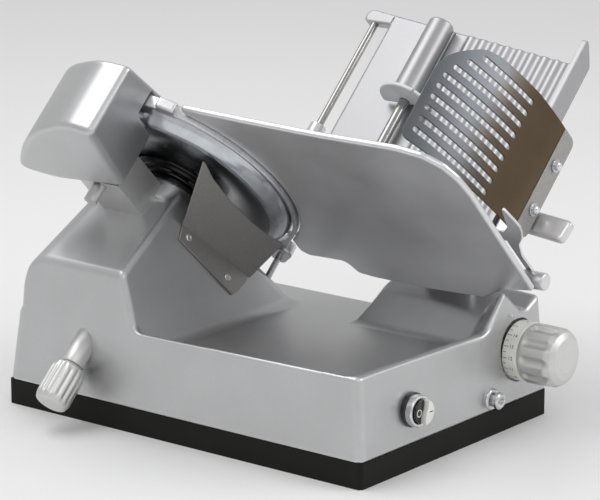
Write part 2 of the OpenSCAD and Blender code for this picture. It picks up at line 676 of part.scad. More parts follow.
module rear_rod() color([0.75, 0.76, 0.78]) inc()
  translate([rear_n, rear_y, -450]) cylinder(r = rear_rod_r, h = 450 - 180);
module pusher_rod() color([0.75, 0.76, 0.78]) inc()
  translate([table_n + 10, -14, -428]) cylinder(r = pusher_rod_r, h = 428 - 180);
module stop_disc() color([0.85, 0.86, 0.86, 0.6]) inc() intersection() {
  translate([table_n + 10, -14, -344]) tube(29, pusher_rod_r, 4);
  translate([table_n + rib_h + 0.2, -60, -400]) cube([60, 100, 100]);
}
module pusher_arm() color([0.66, 0.67, 0.69]) inc() difference() {
  union() {
    translate([rear_n, rear_y, -302]) cylinder(r = 9, h = 54);
    translate([rear_n, rear_y - 8, -262]) cube([table_n + 22 - rear_n, 16, 14]);
    translate([table_n + 10, -14, -250]) cylinder(r = 10, h = 30);
    translate([table_n + 14, -14, -262]) cube([8, rear_y + 14, 14]);
    translate([table_n + 14, -22, -262]) cube([30, 16, 14]);
  }
  translate([rear_n, rear_y, -400]) cylinder(r = rear_rod_r + fit, h = 300);
  translate([table_n + 10, -14, -400]) cylinder(r = pusher_rod_r + fit, h = 300);
}
module pusher_plate() color([0.8, 0.8, 0.8]) inc() {
  difference() {
    translate([table_n + 3, -110, -220]) cube([88, 170, 5]);
    translate([table_n + 10, -14, -260]) cylinder(r = pusher_rod_r + 0.4, h = 60);
  }
  for (n = [16 : 24 : 88], y = [-90 : 30 : 50]) translate([table_n + n, y, -215.1])
    cylinder(r1 = 2.2, r2 = 0.6, h = 7);
}

// Hand guard, its strip and bolts, and the carriage handle
// arc sheet round an axis along s: angles count up from the -Y direction
module arc_sheet(a0, a1, r0, r1, s0, s1) inc() translate([guard_cn, guard_cy, s0])
  rotate([0, 0, -90]) linear_extrude(s1 - s0) intersection() {
    difference() {
      circle(r = r1);
      circle(r = r0);
    }
    polygon([[0, 0], [400 * cos(a0), 400 * sin(a0)],
      [410 * cos((a0 + a1) / 2), 410 * sin((a0 + a1) / 2)], [400 * cos(a1), 400 * sin(a1)]]);
  }
bolt_s = [-294, -240.5];
module hand_guard() color([0.5, 0.45, 0.4]) difference() {
  union() {
    arc_sheet(bend_a, 37.6, guard_R - guard_t, guard_R, -337, -206);
    inc() translate([57, flange_y, -331]) cube([guard_cn + guard_R * sin(bend_a) - 57 + 0.4,
      guard_t, 120]);
  }
  for (i = [0 : slot_n - 1]) {
    a1 = min(36.4, 47.4 - i * 2);
    sp = 213.5 + i * 13.65;
    arc_sheet(17.4, a1, guard_R - 15, guard_R + 15, -sp - slot_w / 2, -sp + slot_w / 2);
  }
  // cut corner at the top
  inc() translate([guard_cn, guard_cy, -337]) rotate([0, 0, 37.6 - 90]) rotate([0, 90, 0])
    translate([0, 0, guard_R - 15]) rotate([0, 0, 0]) linear_extrude(30)
    polygon([[3, 4], [-36, 4], [3, -35]]);
  for (s = bolt_s) inc() translate([bolt_n, 0, s]) cyl_y(screw_r + 0.3, -240, -200);
}
module guard_strip() color([0.66, 0.67, 0.69]) inc() {
  difference() {
    translate([bolt_n - 11, flange_y + guard_t, -322])
      cube([18, fence_y - 6 - flange_y - guard_t, 116]);
    for (s = bolt_s) translate([bolt_n, 0, s]) cyl_y(screw_r, -240, -212);
  }
  // end plate beside the gauge plate
  translate([0, 0, -206]) linear_extrude(3) polygon([[128, -232], [107, -237], [95, -239],
    [86, -237], [74, -232], [60, -222], [40, -216], [4, -216], [4, -209], [76, -209], [90, -222]]);
  translate([10, 0, -195]) cyl_y(9, -236, -209.5);
  translate([4, -216, -206]) cube([12, 6.5, 10]);
}
module guard_bolts() color([0.7, 0.71, 0.73]) inc()
  for (s = bolt_s) translate([bolt_n, 0, s]) {
    cyl_y(7, flange_y - 1.6, flange_y);
    cyl_y(4.6, flange_y - 4.2, flange_y - 1.5);
    cyl_y(screw_r - 0.05, flange_y - 2, -213);
  }
module carriage_handle() color([0.8, 0.8, 0.79]) inc()
  translate([deck_n - 10, -216, -236.5]) rotate([-6, 0, 0]) translate([0, -46, -12])
    cube([10, 84, 24]);

// Sharpener: a cover on a post, with two stones
sharp_pts = [[345, 83], [350, 96], [352, 117], [343, 143], [321, 181], [277, 225], [257, 237],
  [249, 230], [245, 215], [242, 189], [250, 101]];
sharp_in = [[341, 88], [345, 98], [347, 117], [338, 141], [317, 178], [275, 219], [258, 229],
  [220, 225], [220, 106], [250, 106]];
stones = [[319, 120, 20], [309, 160, 13.5]];
module sharpener_cover() color([0.66, 0.66, 0.65]) inc() difference() {
  translate([0, 0, -178]) linear_extrude(98) polygon(sharp_pts);
  translate([0, 0, -174]) linear_extrude(90) polygon(sharp_in);
  translate([axis_n, axis_y, -171]) cylinder(r = ring_r + 2, h = 29);
}
module post(g) translate([240, 126 - g, -112 - g]) cube([88, 18 + 2 * g, 14 + 2 * g]);
module sharpener_bracket() color([0.66, 0.67, 0.68]) inc() difference() {
  union() {
    intersection() {
      translate([165, 113, -124]) cube([79, 52, 39.5]);
      // saddle: sits on the tower's sloping top
      translate([0, 0, -124]) rotate([-90, 0, 0]) rotate([0, 0, 0])
        translate([0, 0, 100]) linear_extrude(80) polygon([[saddle_n(-124) + 0.05, 0],
          [saddle_n(-84.5) + 0.05, -39.5], [260, -39.5], [260, 0]]);
    }
    post(0);
  }
  translate([pin_n, 142, -112]) cylinder(r = 4, h = 30);
  for (y = [122, 156]) translate([150, y, screw_s]) rotate([0, 90, 0])
    cylinder(r = screw_r, h = 54);
  translate([axis_n, axis_y, -140]) cylinder(r = 24.3, h = 60);
}
// n of the tower's top plane at a given s
function saddle_n(s) = (top_w - s * rate_s) / rate_n;
module sharpener_pin() color([0.72, 0.73, 0.74]) inc() translate([pin_n, 142, 0]) {
  translate([0, 0, -84.2]) cylinder(r = 7, h = 19);
  translate([0, 0, -108]) cylinder(r = 4 - fit, h = 24);
}
module bracket_screws() inc()
  for (y = [122, 156]) translate([saddle_n(screw_s) - 6.7, y, screw_s]) rotate([0, 90, 0]) {
    cylinder(r = screw_r - 0.05, h = 18);
    translate([0, 0, -3]) cylinder(r = 4, h = 3);
  }
module stone_frame() color([0.55, 0.56, 0.57]) inc() {
  translate([0, 0, -132]) linear_extrude(6) intersection() {
    polygon(sharp_in);
    translate([268, 80]) square([90, 160]);
  }
  difference() {
    translate([288, 118, -126.1]) cube([24, 34, 36]);
    post(0.4);
  }
  for (p = stones) translate([p[0], p[1], -154]) {
    cylinder(r = 4, h = 23);
    cylinder(r = 7, h = 2);
  }
}
module stone(i) inc() translate([stones[i][0], stones[i][1], -151.5])
  tube(stones[i][2], 4 + fit, 9);
module grinding_stone() color([0.75, 0.75, 0.72]) stone(0);
module deburring_stone() color([0.72, 0.7, 0.65]) stone(1);

// Electrics
module control_board() color([0.1, 0.35, 0.15]) translate([-95, -165, 3]) {
  cube([70, 90, 3]);
  translate([8, 8, 2.5]) cube([20, 16, 15]);
  translate([36, 8, 2.5]) cube([24, 12, 12]);
  translate([10, 34, 2.5]) cube([48, 10, 10]);
  translate([22, 66, 2.5]) cylinder(r = 14, h = 40);
}
module cable_gland() color([0.08, 0.08, 0.08]) translate([-60, 0, 50]) difference() {
  union() {
    cyl_y(7, hy - 18, hy);
    cyl_y(10, hy - 1.85, hy + 6);
    cyl_y(10, hy - 17, hy - 8.8);
  }
  cyl_y(cable_r, 180, hy + 20);
}

base_pan();
rubber_feet();
pan_screws();
main_housing();
motor();
casting_screws();
motor_shaft();
drive_belt();
blade_pulley();
blade_spindle();
spindle_bearings();
hub_collar();
blade_flange();
blade();
blade_screws();
blade_cover();
cover_tie_rod();
tie_rod_knob();
tie_rod_sleeve();
blade_guard_ring();
guard_ring_rod();
deflector_plate();
deflector_screws();
gauge_plate();
gauge_carrier();
gauge_screws();
gauge_bushes();
index_spindle();
dial_bush();
thickness_dial();
thickness_knob();
switch_frame();
switch_off();
switch_on();
lock_sleeve();
lock_button();
carriage_rail();
rail_guide_bar();
carriage_trolley();
trolley_bushes();
carriage_arm();
carriage_table();
carriage_fence();
rear_rod();
pusher_rod();
stop_disc();
pusher_arm();
pusher_plate();
hand_guard();
guard_strip();
guard_bolts();
carriage_handle();
sharpener_bracket();
sharpener_cover();
sharpener_pin();
grinding_stone();
deburring_stone();
stone_frame();
control_board();
cable_gland();
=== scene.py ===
"""Looks of the gravity-feed slicer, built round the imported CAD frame.

Lengths in the helpers are millimetres.
"""
import json
import math

import bmesh
import bpy
import numpy as np
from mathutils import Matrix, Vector


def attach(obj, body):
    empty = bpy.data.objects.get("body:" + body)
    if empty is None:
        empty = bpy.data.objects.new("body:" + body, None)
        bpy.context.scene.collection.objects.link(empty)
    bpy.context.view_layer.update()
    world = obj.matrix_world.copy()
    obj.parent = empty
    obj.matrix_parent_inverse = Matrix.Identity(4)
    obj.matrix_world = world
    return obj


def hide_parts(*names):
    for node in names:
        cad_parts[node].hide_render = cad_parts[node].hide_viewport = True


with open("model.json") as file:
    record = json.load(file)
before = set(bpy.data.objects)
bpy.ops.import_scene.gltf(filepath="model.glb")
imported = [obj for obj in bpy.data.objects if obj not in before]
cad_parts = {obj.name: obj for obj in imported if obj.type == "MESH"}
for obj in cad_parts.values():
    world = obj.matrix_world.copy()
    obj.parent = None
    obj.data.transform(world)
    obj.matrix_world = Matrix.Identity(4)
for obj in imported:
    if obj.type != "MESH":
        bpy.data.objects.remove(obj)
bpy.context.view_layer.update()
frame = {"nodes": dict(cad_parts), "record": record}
nodes = frame["nodes"]

MM = 0.001
# The blade, table and gauge plate share a tilted frame: n stands on the table, s runs down along it.
TILT = math.radians(44)
CT, ST = math.cos(TILT), math.sin(TILT)
# Frames for turned pieces and plates; their columns are the local axes, the third one runs along the piece.
TILTED = np.array([[-ST, 0, -CT], [0, 1, 0], [CT, 0, -ST]])
FRONTAL = np.array([[1, 0, 0], [0, 0, -1], [0, 1, 0]])
SIDE = np.array([[-ST, -CT, 0], [0, 0, 1], [CT, -ST, 0]])
STUB = np.array([[-ST, -CT, 0], [0, 0, -1], [CT, -ST, 0]])
# The blade's centre as n and y
HUB_N, HUB_Y = 161, 124.5
AXIS = (HUB_N, HUB_Y, 0)


def tilted(P):
    """Points (n, y, s) in mm to world metres."""
    return P @ TILTED.T * MM


def hub_r(n, y):
    """Distance from the blade's axis."""
    return np.hypot(n - HUB_N, y - HUB_Y)


def add_object(name, data):
    ob = bpy.data.objects.new(name, data)
    bpy.context.scene.collection.objects.link(ob)
    return ob


# Camera: place in metres, direction, and focal length in pixels of a photograph 600 wide
CAM_POS = (-2.3477, -1.8834, 0.9433)
CAM_AZ, CAM_EL = math.radians(51.72), math.radians(14.5)
FOCAL_PX, PHOTO_WIDTH = 3106.1, 600
SENSOR = 36   # mm
cam_data = bpy.data.cameras.new("camera")
cam = add_object("camera", cam_data)
look = Vector((math.sin(CAM_AZ) * math.cos(CAM_EL), math.cos(CAM_AZ) * math.cos(CAM_EL), -math.sin(CAM_EL)))
cam.location = CAM_POS
cam.rotation_euler = look.to_track_quat("-Z", "Y").to_euler()
cam_data.sensor_width = SENSOR
cam_data.lens = FOCAL_PX * SENSOR / PHOTO_WIDTH
cam_data.clip_end = 50
bpy.context.scene.camera = cam


# Materials
class Nodes:
    """Shorthand for a node tree with one Principled shader."""

    def __init__(self, name):
        self.mat = bpy.data.materials.new(name)
        self.mat.use_nodes = True
        self.t = self.mat.node_tree
        self.b = self.t.nodes["Principled BSDF"]
        self.co = self.t.nodes.new("ShaderNodeTexCoord").outputs["Object"]

    def link(self, a, b):
        self.t.links.new(a, b)

    def stretch(self, scale):
        """Object coordinates with a scale of their own along each axis."""
        m = self.t.nodes.new("ShaderNodeMapping")
        m.inputs["Scale"].default_value = scale
        self.link(self.co, m.inputs["Vector"])
        return m.outputs[0]

    def noise(self, scale, detail=2, rough=0.5, vec=None):
        n = self.t.nodes.new("ShaderNodeTexNoise")
        n.inputs["Scale"].default_value = scale
        n.inputs["Detail"].default_value = detail
        n.inputs["Roughness"].default_value = rough
        self.link(vec or self.co, n.inputs["Vector"])
        return n.outputs["Fac"]

    def map(self, v, a, b, c, d):
        """The range a..b of v to c..d."""
        m = self.t.nodes.new("ShaderNodeMapRange")
        for k, x in zip(("From Min", "From Max", "To Min", "To Max"), (a, b, c, d)):
            m.inputs[k].default_value = x
        self.link(v, m.inputs["Value"])
        return m.outputs[0]

    def math(self, op, a, b):
        m = self.t.nodes.new("ShaderNodeMath")
        m.operation = op
        for i, x in enumerate((a, b)):
            if isinstance(x, (int, float)):
                m.inputs[i].default_value = x
            else:
                self.link(x, m.inputs[i])
        return m.outputs[0]

    def mix(self, f, a, b):
        m = self.t.nodes.new("ShaderNodeMix")
        m.data_type = "RGBA"
        # sockets of the node's colour form: factor, A, B and the result
        self.put(f, m.inputs[0])
        self.put(a, m.inputs[6])
        self.put(b, m.inputs[7])
        return m.outputs[2]

    def put(self, v, socket):
        """A link, a colour or a number into a socket."""
        if isinstance(v, bpy.types.NodeSocket):
            self.link(v, socket)
        elif isinstance(v, (tuple, list)):
            socket.default_value = (*v[:3], 1)
        else:
            socket.default_value = v

    def set(self, **k):
        """Inputs of the Principled shader by name, with _ for a space."""
        for name, v in k.items():
            self.put(v, self.b.inputs[name.replace("_", " ")])

    def bump(self, height, strength, distance=0.0005):
        m = self.t.nodes.new("ShaderNodeBump")
        m.inputs["Strength"].default_value = strength
        m.inputs["Distance"].default_value = distance
        self.link(height, m.inputs["Height"])
        self.link(m.outputs[0], self.b.inputs["Normal"])

    def edges(self):
        """1 on outer edges, 0 on flat places."""
        g = self.t.nodes.new("ShaderNodeNewGeometry")
        return self.map(g.outputs["Pointiness"], 0.5, 0.58, 0, 1)


def shade(col, k, add=0.0):
    """A colour made darker or lighter."""
    return tuple(min(1, c * k + add) for c in col)


def cast_metal(name, col, rough, wear=0.5, grain=1.0):
    """Blasted and anodised casting: fine grain, cloudy tone, edges worn bright."""
    m = Nodes(name)
    cloud = m.noise(14, 3)
    fine = m.noise(900, 2)
    tone = m.mix(m.map(cloud, 0.3, 0.7, 0, 1), shade(col, 0.93), shade(col, 1.05))
    speck = m.mix(m.map(fine, 0.35, 0.7, 0, 0.35 * grain), tone, shade(col, 0.86))
    worn = m.mix(m.math("MULTIPLY", m.edges(), wear), speck, (0.86, 0.86, 0.87))
    dull = m.math("ADD", cloud, m.math("MULTIPLY", fine, 0.5))
    m.set(Base_Color=worn, Metallic=0.86, Roughness=m.map(dull, 0.5, 1.0, rough - 0.04, rough + 0.05))
    m.bump(m.math("ADD", fine, m.math("MULTIPLY", m.noise(260, 2), 0.6)), 0.08 * grain, 0.0002)
    return m.mat


def brushed(name, col, rough, scale, depth=0.12):
    """Drawn or ground metal: fine grain, in lines where the scale differs by axis."""
    m = Nodes(name)
    lines = m.noise(1.0, 3, 0.6, m.stretch(scale))
    cloud = m.noise(20, 2)
    tone = m.mix(m.map(lines, 0.3, 0.7, 0, 1), shade(col, 0.86), shade(col, 1.08))
    dull = m.math("ADD", cloud, lines)
    m.set(Base_Color=tone, Metallic=1.0, Roughness=m.map(dull, 0.6, 1.4, rough - 0.05, rough + 0.08))
    m.bump(lines, depth, 0.0002)
    return m.mat


def mirror_sheet(name, warm_reflection, cool_reflection):
    """Polished sheet with a painted reflection: warm near its folded edge and cool above it."""
    m = Nodes(name)
    axes = m.t.nodes.new("ShaderNodeSeparateXYZ")
    m.link(m.co, axes.inputs[0])
    y = m.math("ADD", axes.outputs[1], m.math("MULTIPLY", m.noise(18, 2), 0.02))
    # painted reflection: the colour runs from warm brown to cool grey along y
    tone = m.mix(m.map(y, -0.199, -0.183, 0, 1), warm_reflection, cool_reflection)
    m.set(Base_Color=tone, Metallic=1.0, Roughness=m.map(m.noise(40, 2), 0.3, 0.7, 0.2, 0.28))
    m.bump(m.noise(300, 2), 0.006, 0.0002)
    return m.mat


def plastic(name, col, rough, coat=0.0, spec=0.5, grain=0.04, scale=700):
    """Moulded plastic, rubber, paint or stone: cloudy tone and gloss, fine grain."""
    m = Nodes(name)
    cloud = m.noise(30, 3)
    tone = m.mix(m.map(cloud, 0.3, 0.7, 0, 1), shade(col, 0.85), shade(col, 1.15, 0.002))
    m.set(Base_Color=tone, Roughness=m.map(cloud, 0.3, 0.7, rough - 0.04, rough + 0.06))
    m.set(Coat_Weight=coat, Specular_IOR_Level=spec)
    m.bump(m.noise(scale, 3), grain, 0.0003)
    return m.mat


# One material per slot of the record, then the finishes and painted reflections that some pieces have
# instead
MAT = {
    "cast_aluminium": cast_metal("cast_aluminium", (0.55, 0.553, 0.56), 0.36),
    "bare_aluminium": brushed("bare_aluminium", (0.60, 0.60, 0.61), 0.38, (60, 900, 900)),
    "black_pan": plastic("black_pan", (0.006, 0.0065, 0.005), 0.6, spec=0.2, grain=0.1, scale=500),
    "rubber": plastic("rubber", (0.015, 0.015, 0.015), 0.75, grain=0.2),
    "steel": brushed("steel", (0.58, 0.58, 0.59), 0.25, (300, 300, 1500)),
    "blade_steel": brushed("blade_steel", (0.62, 0.63, 0.65), 0.14, (300, 300, 300), depth=0.02),
    "chrome": brushed("chrome", (0.75, 0.76, 0.78), 0.10, (200, 200, 200), depth=0.01),
    "black_plastic": plastic("black_plastic", (0.006, 0.006, 0.007), 0.22, coat=0.3),
    "white_plastic": plastic("white_plastic", (0.78, 0.78, 0.74), 0.3),
    "belt_rubber": plastic("belt_rubber", (0.02, 0.02, 0.02), 0.7, grain=0.2),
    "motor_paint": plastic("motor_paint", (0.05, 0.055, 0.06), 0.45),
    "brass": brushed("brass", (0.62, 0.44, 0.19), 0.3, (900, 200, 900)),
    "guard_mirror": brushed("guard_mirror", (0.55, 0.54, 0.52), 0.12, (300, 300, 300), depth=0.01),
    "disc_clear": plastic("disc_clear", (0.8, 0.81, 0.83), 0.35),
    "stone": plastic("stone", (0.5, 0.5, 0.47), 0.9, grain=0.5, scale=1500),
    "board": plastic("board", (0.02, 0.14, 0.05), 0.5),
}
SMOOTH_CAST = cast_metal("satin_cast", (0.74, 0.74, 0.75), 0.34, 0.2, grain=0.4)
KNOB_CAST = cast_metal("knob_cast", (0.70, 0.70, 0.69), 0.42, 0.2, grain=0.8)
DECK_MAT = cast_metal("deck_cast", (0.44, 0.44, 0.455), 0.42, 0.2, grain=0.5)
POLISHED = brushed("polished_edge", (0.68, 0.68, 0.70), 0.33, (250, 250, 250), depth=0.02)
SATIN_CHROME = brushed("satin_chrome", (0.74, 0.74, 0.75), 0.24, (250, 250, 250), depth=0.02)
BLADE_MAT = brushed("blade_ground", (0.62, 0.64, 0.68), 0.2, (70, 70, 70), depth=0.002)
# the blade's flat: the same ground steel with a darker colour, a painted dark reflection of the black hub
FLAT_DARK_REFLECTION_MAT = brushed("blade_flat_dark_reflection", (0.33, 0.34, 0.36), 0.22, (70, 70, 70), depth=0.002)
# the hand guard's colour is a painted reflection, warm below and cool above
GUARD_REFLECTION_MAT = mirror_sheet("guard_painted_reflection", (0.14, 0.105, 0.068), (0.125, 0.132, 0.142))
ROD_MAT = brushed("rod_steel", (0.40, 0.395, 0.385), 0.2, (300, 300, 1500))
DEFLECTOR_MAT = brushed("deflector_satin", (0.42, 0.41, 0.395), 0.46, (700, 700, 700), depth=0.01)
INK = plastic("ink", (0.03, 0.03, 0.035), 0.5)
slot_of = {p["node"]: p["material_slot"] for p in frame["record"]["subparts"]}
for name, ob in nodes.items():
    ob.data.materials.clear()
    ob.data.materials.append(MAT[slot_of[name]])


# Rounded solids from distance fields
def rmax(a, b, r):
    """Rounded intersection of two fields."""
    return np.minimum(np.maximum(a, b), -r) + np.hypot(np.maximum(a + r, 0), np.maximum(b + r, 0))


def rmin(a, b, r):
    """Union of two fields with a fillet."""
    return -rmax(-a, -b, r)


def convex(u, v, pts, r):
    """Field of a convex polygon in the coordinates u, v with rounded corners; pts run counterclockwise."""
    f = None
    for (x0, y0), (x1, y1) in zip(pts, pts[1:] + pts[:1]):
        k = math.hypot(x1 - x0, y1 - y0)
        e = ((u - x0) * (y1 - y0) - (v - y0) * (x1 - x0)) / k
        f = e if f is None else rmax(f, e, r)
    return f


def half(u, v, a, b):
    """Signed distance from the line a-b, positive on its right hand side."""
    k = math.hypot(b[0] - a[0], b[1] - a[1])
    return ((u - a[0]) * (b[1] - a[1]) - (v - a[1]) * (b[0] - a[0])) / k


def surface(name, field, lo, hi, h, steps=3, xf=None):
    """Mesh of field = 0 in the box lo..hi by surface nets on a grid of h mm.

    The points are then moved onto the surface in a few steps; xf takes them to world metres.
    """
    lo = np.array(lo, float)
    n = [int(math.ceil((b - a) / h)) + 1 for a, b in zip(lo, hi)]
    ax = [lo[i] + h * np.arange(n[i]) for i in range(3)]
    V = np.empty(n, np.float32)
    for i in range(0, n[0], 24):
        X, Y, Z = np.meshgrid(ax[0][i:i + 24], ax[1], ax[2], indexing="ij")
        V[i:i + 24] = field(X, Y, Z)
    m = np.array(n) - 1
    total = int(m.prod())
    acc = np.zeros((total, 3))
    cnt = np.zeros(total)
    quads = []
    for d in range(3):
        e, g = (d + 1) % 3, (d + 2) % 3
        a = np.take(V, np.arange(n[d] - 1), axis=d)
        b = np.take(V, np.arange(1, n[d]), axis=d)
        idx = np.argwhere((a < 0) != (b < 0))
        keep = (idx[:, e] > 0) & (idx[:, e] < m[e]) & (idx[:, g] > 0) & (idx[:, g] < m[g])
        idx = idx[keep]
        va, vb = a[tuple(idx.T)], b[tuple(idx.T)]
        p = idx.astype(float)
        p[:, d] += va / (va - vb)
        ring = []
        for de, dg in ((0, 0), (-1, 0), (-1, -1), (0, -1)):
            c = idx.copy()
            c[:, e] += de
            c[:, g] += dg
            k = (c[:, 0] * m[1] + c[:, 1]) * m[2] + c[:, 2]
            for j in range(3):
                acc[:, j] += np.bincount(k, p[:, j], total)
            cnt += np.bincount(k, minlength=total)
            ring.append(k)
        q = np.stack(ring, 1)
        flip = va > 0
        q[flip] = q[flip][:, ::-1]
        quads.append(q)
    quads = np.concatenate(quads)
    used = np.flatnonzero(cnt)
    new = np.full(total, -1)
    new[used] = np.arange(len(used))
    P = lo + h * acc[used] / cnt[used, None]
    quads = new[quads]
    # step along the gradient, never further than one cell
    d = h * 0.05
    for _ in range(steps):
        f0 = field(*P.T)
        G = np.stack([(field(*(P + o).T) - f0) / d for o in np.eye(3) * d], 1)
        step = f0[:, None] * G / np.maximum((G * G).sum(1), 0.05)[:, None]
        k = np.linalg.norm(step, axis=1, keepdims=True)
        P -= step * np.minimum(1, h / np.maximum(k, 1e-9))
    return mesh(name, xf(P) if xf else P * MM, quads)


def mesh(name, verts, faces):
    """Smooth-shaded object of points in metres and faces."""
    me = bpy.data.meshes.new(name)
    me.from_pydata(np.asarray(verts).tolist(), [], [list(map(int, f)) for f in faces])
    me.update()
    me.shade_smooth()
    return add_object(name, me)


def soft(pts, r, closed=False, k=4):
    """A polyline with its corners rounded to radius r, a number or one per point."""
    pts = [np.array(p, float) for p in pts]
    rs = r if isinstance(r, (list, tuple)) else [r] * len(pts)
    out = []
    for i, p in enumerate(pts):
        if not closed and i in (0, len(pts) - 1):
            out.append(p)
            continue
        a, b = pts[i - 1] - p, pts[(i + 1) % len(pts)] - p
        la, lb = np.linalg.norm(a), np.linalg.norm(b)
        a, b = a / la, b / lb
        ang = math.acos(max(-1, min(1, float(a @ b))))
        if ang > math.pi - 0.02 or rs[i] <= 0:
            out.append(p)
            continue
        t = min(rs[i] / math.tan(ang / 2), la * 0.49, lb * 0.49)
        rr = t * math.tan(ang / 2)
        c = p + (a + b) / np.linalg.norm(a + b) * rr / math.sin(ang / 2)
        p0, p1 = p + a * t - c, p + b * t - c
        w = math.pi - ang
        for j in range(k + 1):
            f = j / k
            out.append(c + (p0 * math.sin((1 - f) * w) + p1 * math.sin(f * w)) / math.sin(w))
    return out


def place(frame_m, origin, pts):
    """Points in a local frame to world metres; origin is in the frame's own coordinates."""
    P = np.asarray(pts, float)
    return (P + np.array(origin, float)) @ frame_m.T * MM


def lathe(name, prof, fr, origin, segs=96, wave=None, closed=False):
    """Turned piece round the local third axis.

    prof is a list of (r, h), closed joins its ends, and wave(angle, h) scales the radius.
    """
    P = []
    for r, h in prof:
        for j in range(segs):
            a = 2 * math.pi * j / segs
            q = r * (wave(a, h) if wave else 1)
            P.append((q * math.cos(a), q * math.sin(a), h))
    rows = list(range(len(prof))) + ([0] if closed else [])
    F = [(a * segs + j, a * segs + (j + 1) % segs, b * segs + (j + 1) % segs, b * segs + j)
         for a, b in zip(rows, rows[1:]) for j in range(segs)]
    ob = mesh(name, place(fr, origin, P), F)
    bm = bmesh.new()
    bm.from_mesh(ob.data)
    bmesh.ops.remove_doubles(bm, verts=bm.verts, dist=1e-7)
    bmesh.ops.recalc_face_normals(bm, faces=bm.faces)
    bm.to_mesh(ob.data)
    bm.free()
    ob.data.shade_smooth()
    return ob


def bevel(ob, width, segs=3, angle=35):
    """Rounds the edges sharper than angle by width mm."""
    b = ob.modifiers.new("bevel", "BEVEL")
    b.width = width * MM
    b.segments = segs
    b.limit_method = "ANGLE"
    b.angle_limit = math.radians(angle)
    b.harden_normals = True


def plate(name, outline, w0, w1, fr, origin=(0, 0, 0), edge=0.6):
    """Prism of a 2D outline between w0 and w1 on the local third axis, with rounded edges."""
    k = len(outline)
    P = [(u, v, w0) for u, v in outline] + [(u, v, w1) for u, v in outline]
    area = sum(a[0] * b[1] - a[1] * b[0] for a, b in zip(outline, outline[1:] + outline[:1]))
    F = [list(range(k))[::-1], list(range(k, 2 * k))]
    F += [[i, (i + 1) % k, k + (i + 1) % k, k + i] for i in range(k)]
    if area < 0:
        F = [f[::-1] for f in F]
    ob = mesh(name, place(fr, origin, P), F)
    if edge:
        bevel(ob, edge)
    return ob


def dress(ob, slot, body, *replaced, mat=None):
    """Gives a new piece its material, from the slot unless mat is given, and its body, and hides the CAD
    nodes that it stands for.
    """
    ob.data.materials.clear()
    ob.data.materials.append(mat or MAT[slot])
    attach(ob, body)
    if replaced:
        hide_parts(*replaced)


def cut(ob, *cutters):
    """Boolean difference, applied."""
    for c in cutters:
        m = ob.modifiers.new("cut", "BOOLEAN")
        m.operation = "DIFFERENCE"
        m.solver = "EXACT"
        m.object = c
    dg = bpy.context.evaluated_depsgraph_get()
    me = bpy.data.meshes.new_from_object(ob.evaluated_get(dg))
    ob.modifiers.clear()
    ob.data = me
    for c in cutters:
        bpy.data.objects.remove(c)


def box_piece(name, lo, hi, fr=np.eye(3), origin=(0, 0, 0)):
    """Box for cut(), in a local frame."""
    pts = [(lo[0], lo[1]), (hi[0], lo[1]), (hi[0], hi[1]), (lo[0], hi[1])]
    return plate(name, pts, lo[2], hi[2], fr, origin, edge=0)


def blend01(x, a, b):
    """Smooth step from 0 at a to 1 at b."""
    t = np.clip((x - a) / (b - a), 0, 1)
    return t * t * (3 - 2 * t)


def window(h, a, b, e):
    """1 between a and b, fading to 0 over e at each end."""
    return float(blend01(h, a, a + e) * (1 - blend01(h, b - e, b)))


def poly_sd(u, v, pts):
    """Signed distance to any closed polygon."""
    d = None
    inside = np.zeros(np.shape(u), bool)
    for a, b in zip(pts, pts[1:] + pts[:1]):
        ex, ey = b[0] - a[0], b[1] - a[1]
        wx, wy = u - a[0], v - a[1]
        t = np.clip((wx * ex + wy * ey) / (ex * ex + ey * ey), 0, 1)
        q = (wx - ex * t) ** 2 + (wy - ey * t) ** 2
        d = q if d is None else np.minimum(d, q)
        c1, c2, c3 = v >= a[1], v < b[1], ex * wy > ey * wx
        inside ^= (c1 & c2 & c3) | (~c1 & ~c2 & ~c3)
    return np.sqrt(d) * np.where(inside, -1, 1)


# The casting: half sizes of its foot, heights of the pan's top, the tray's floor and its highest rim
HX, HY = 154.5, 225.0
PAN, FLOOR, RIM = 25.7, 80.0, 92.9
BETA = math.radians(27.9)   # slope of the tower's roof
SEAT = -130.0               # s of the face behind the blade


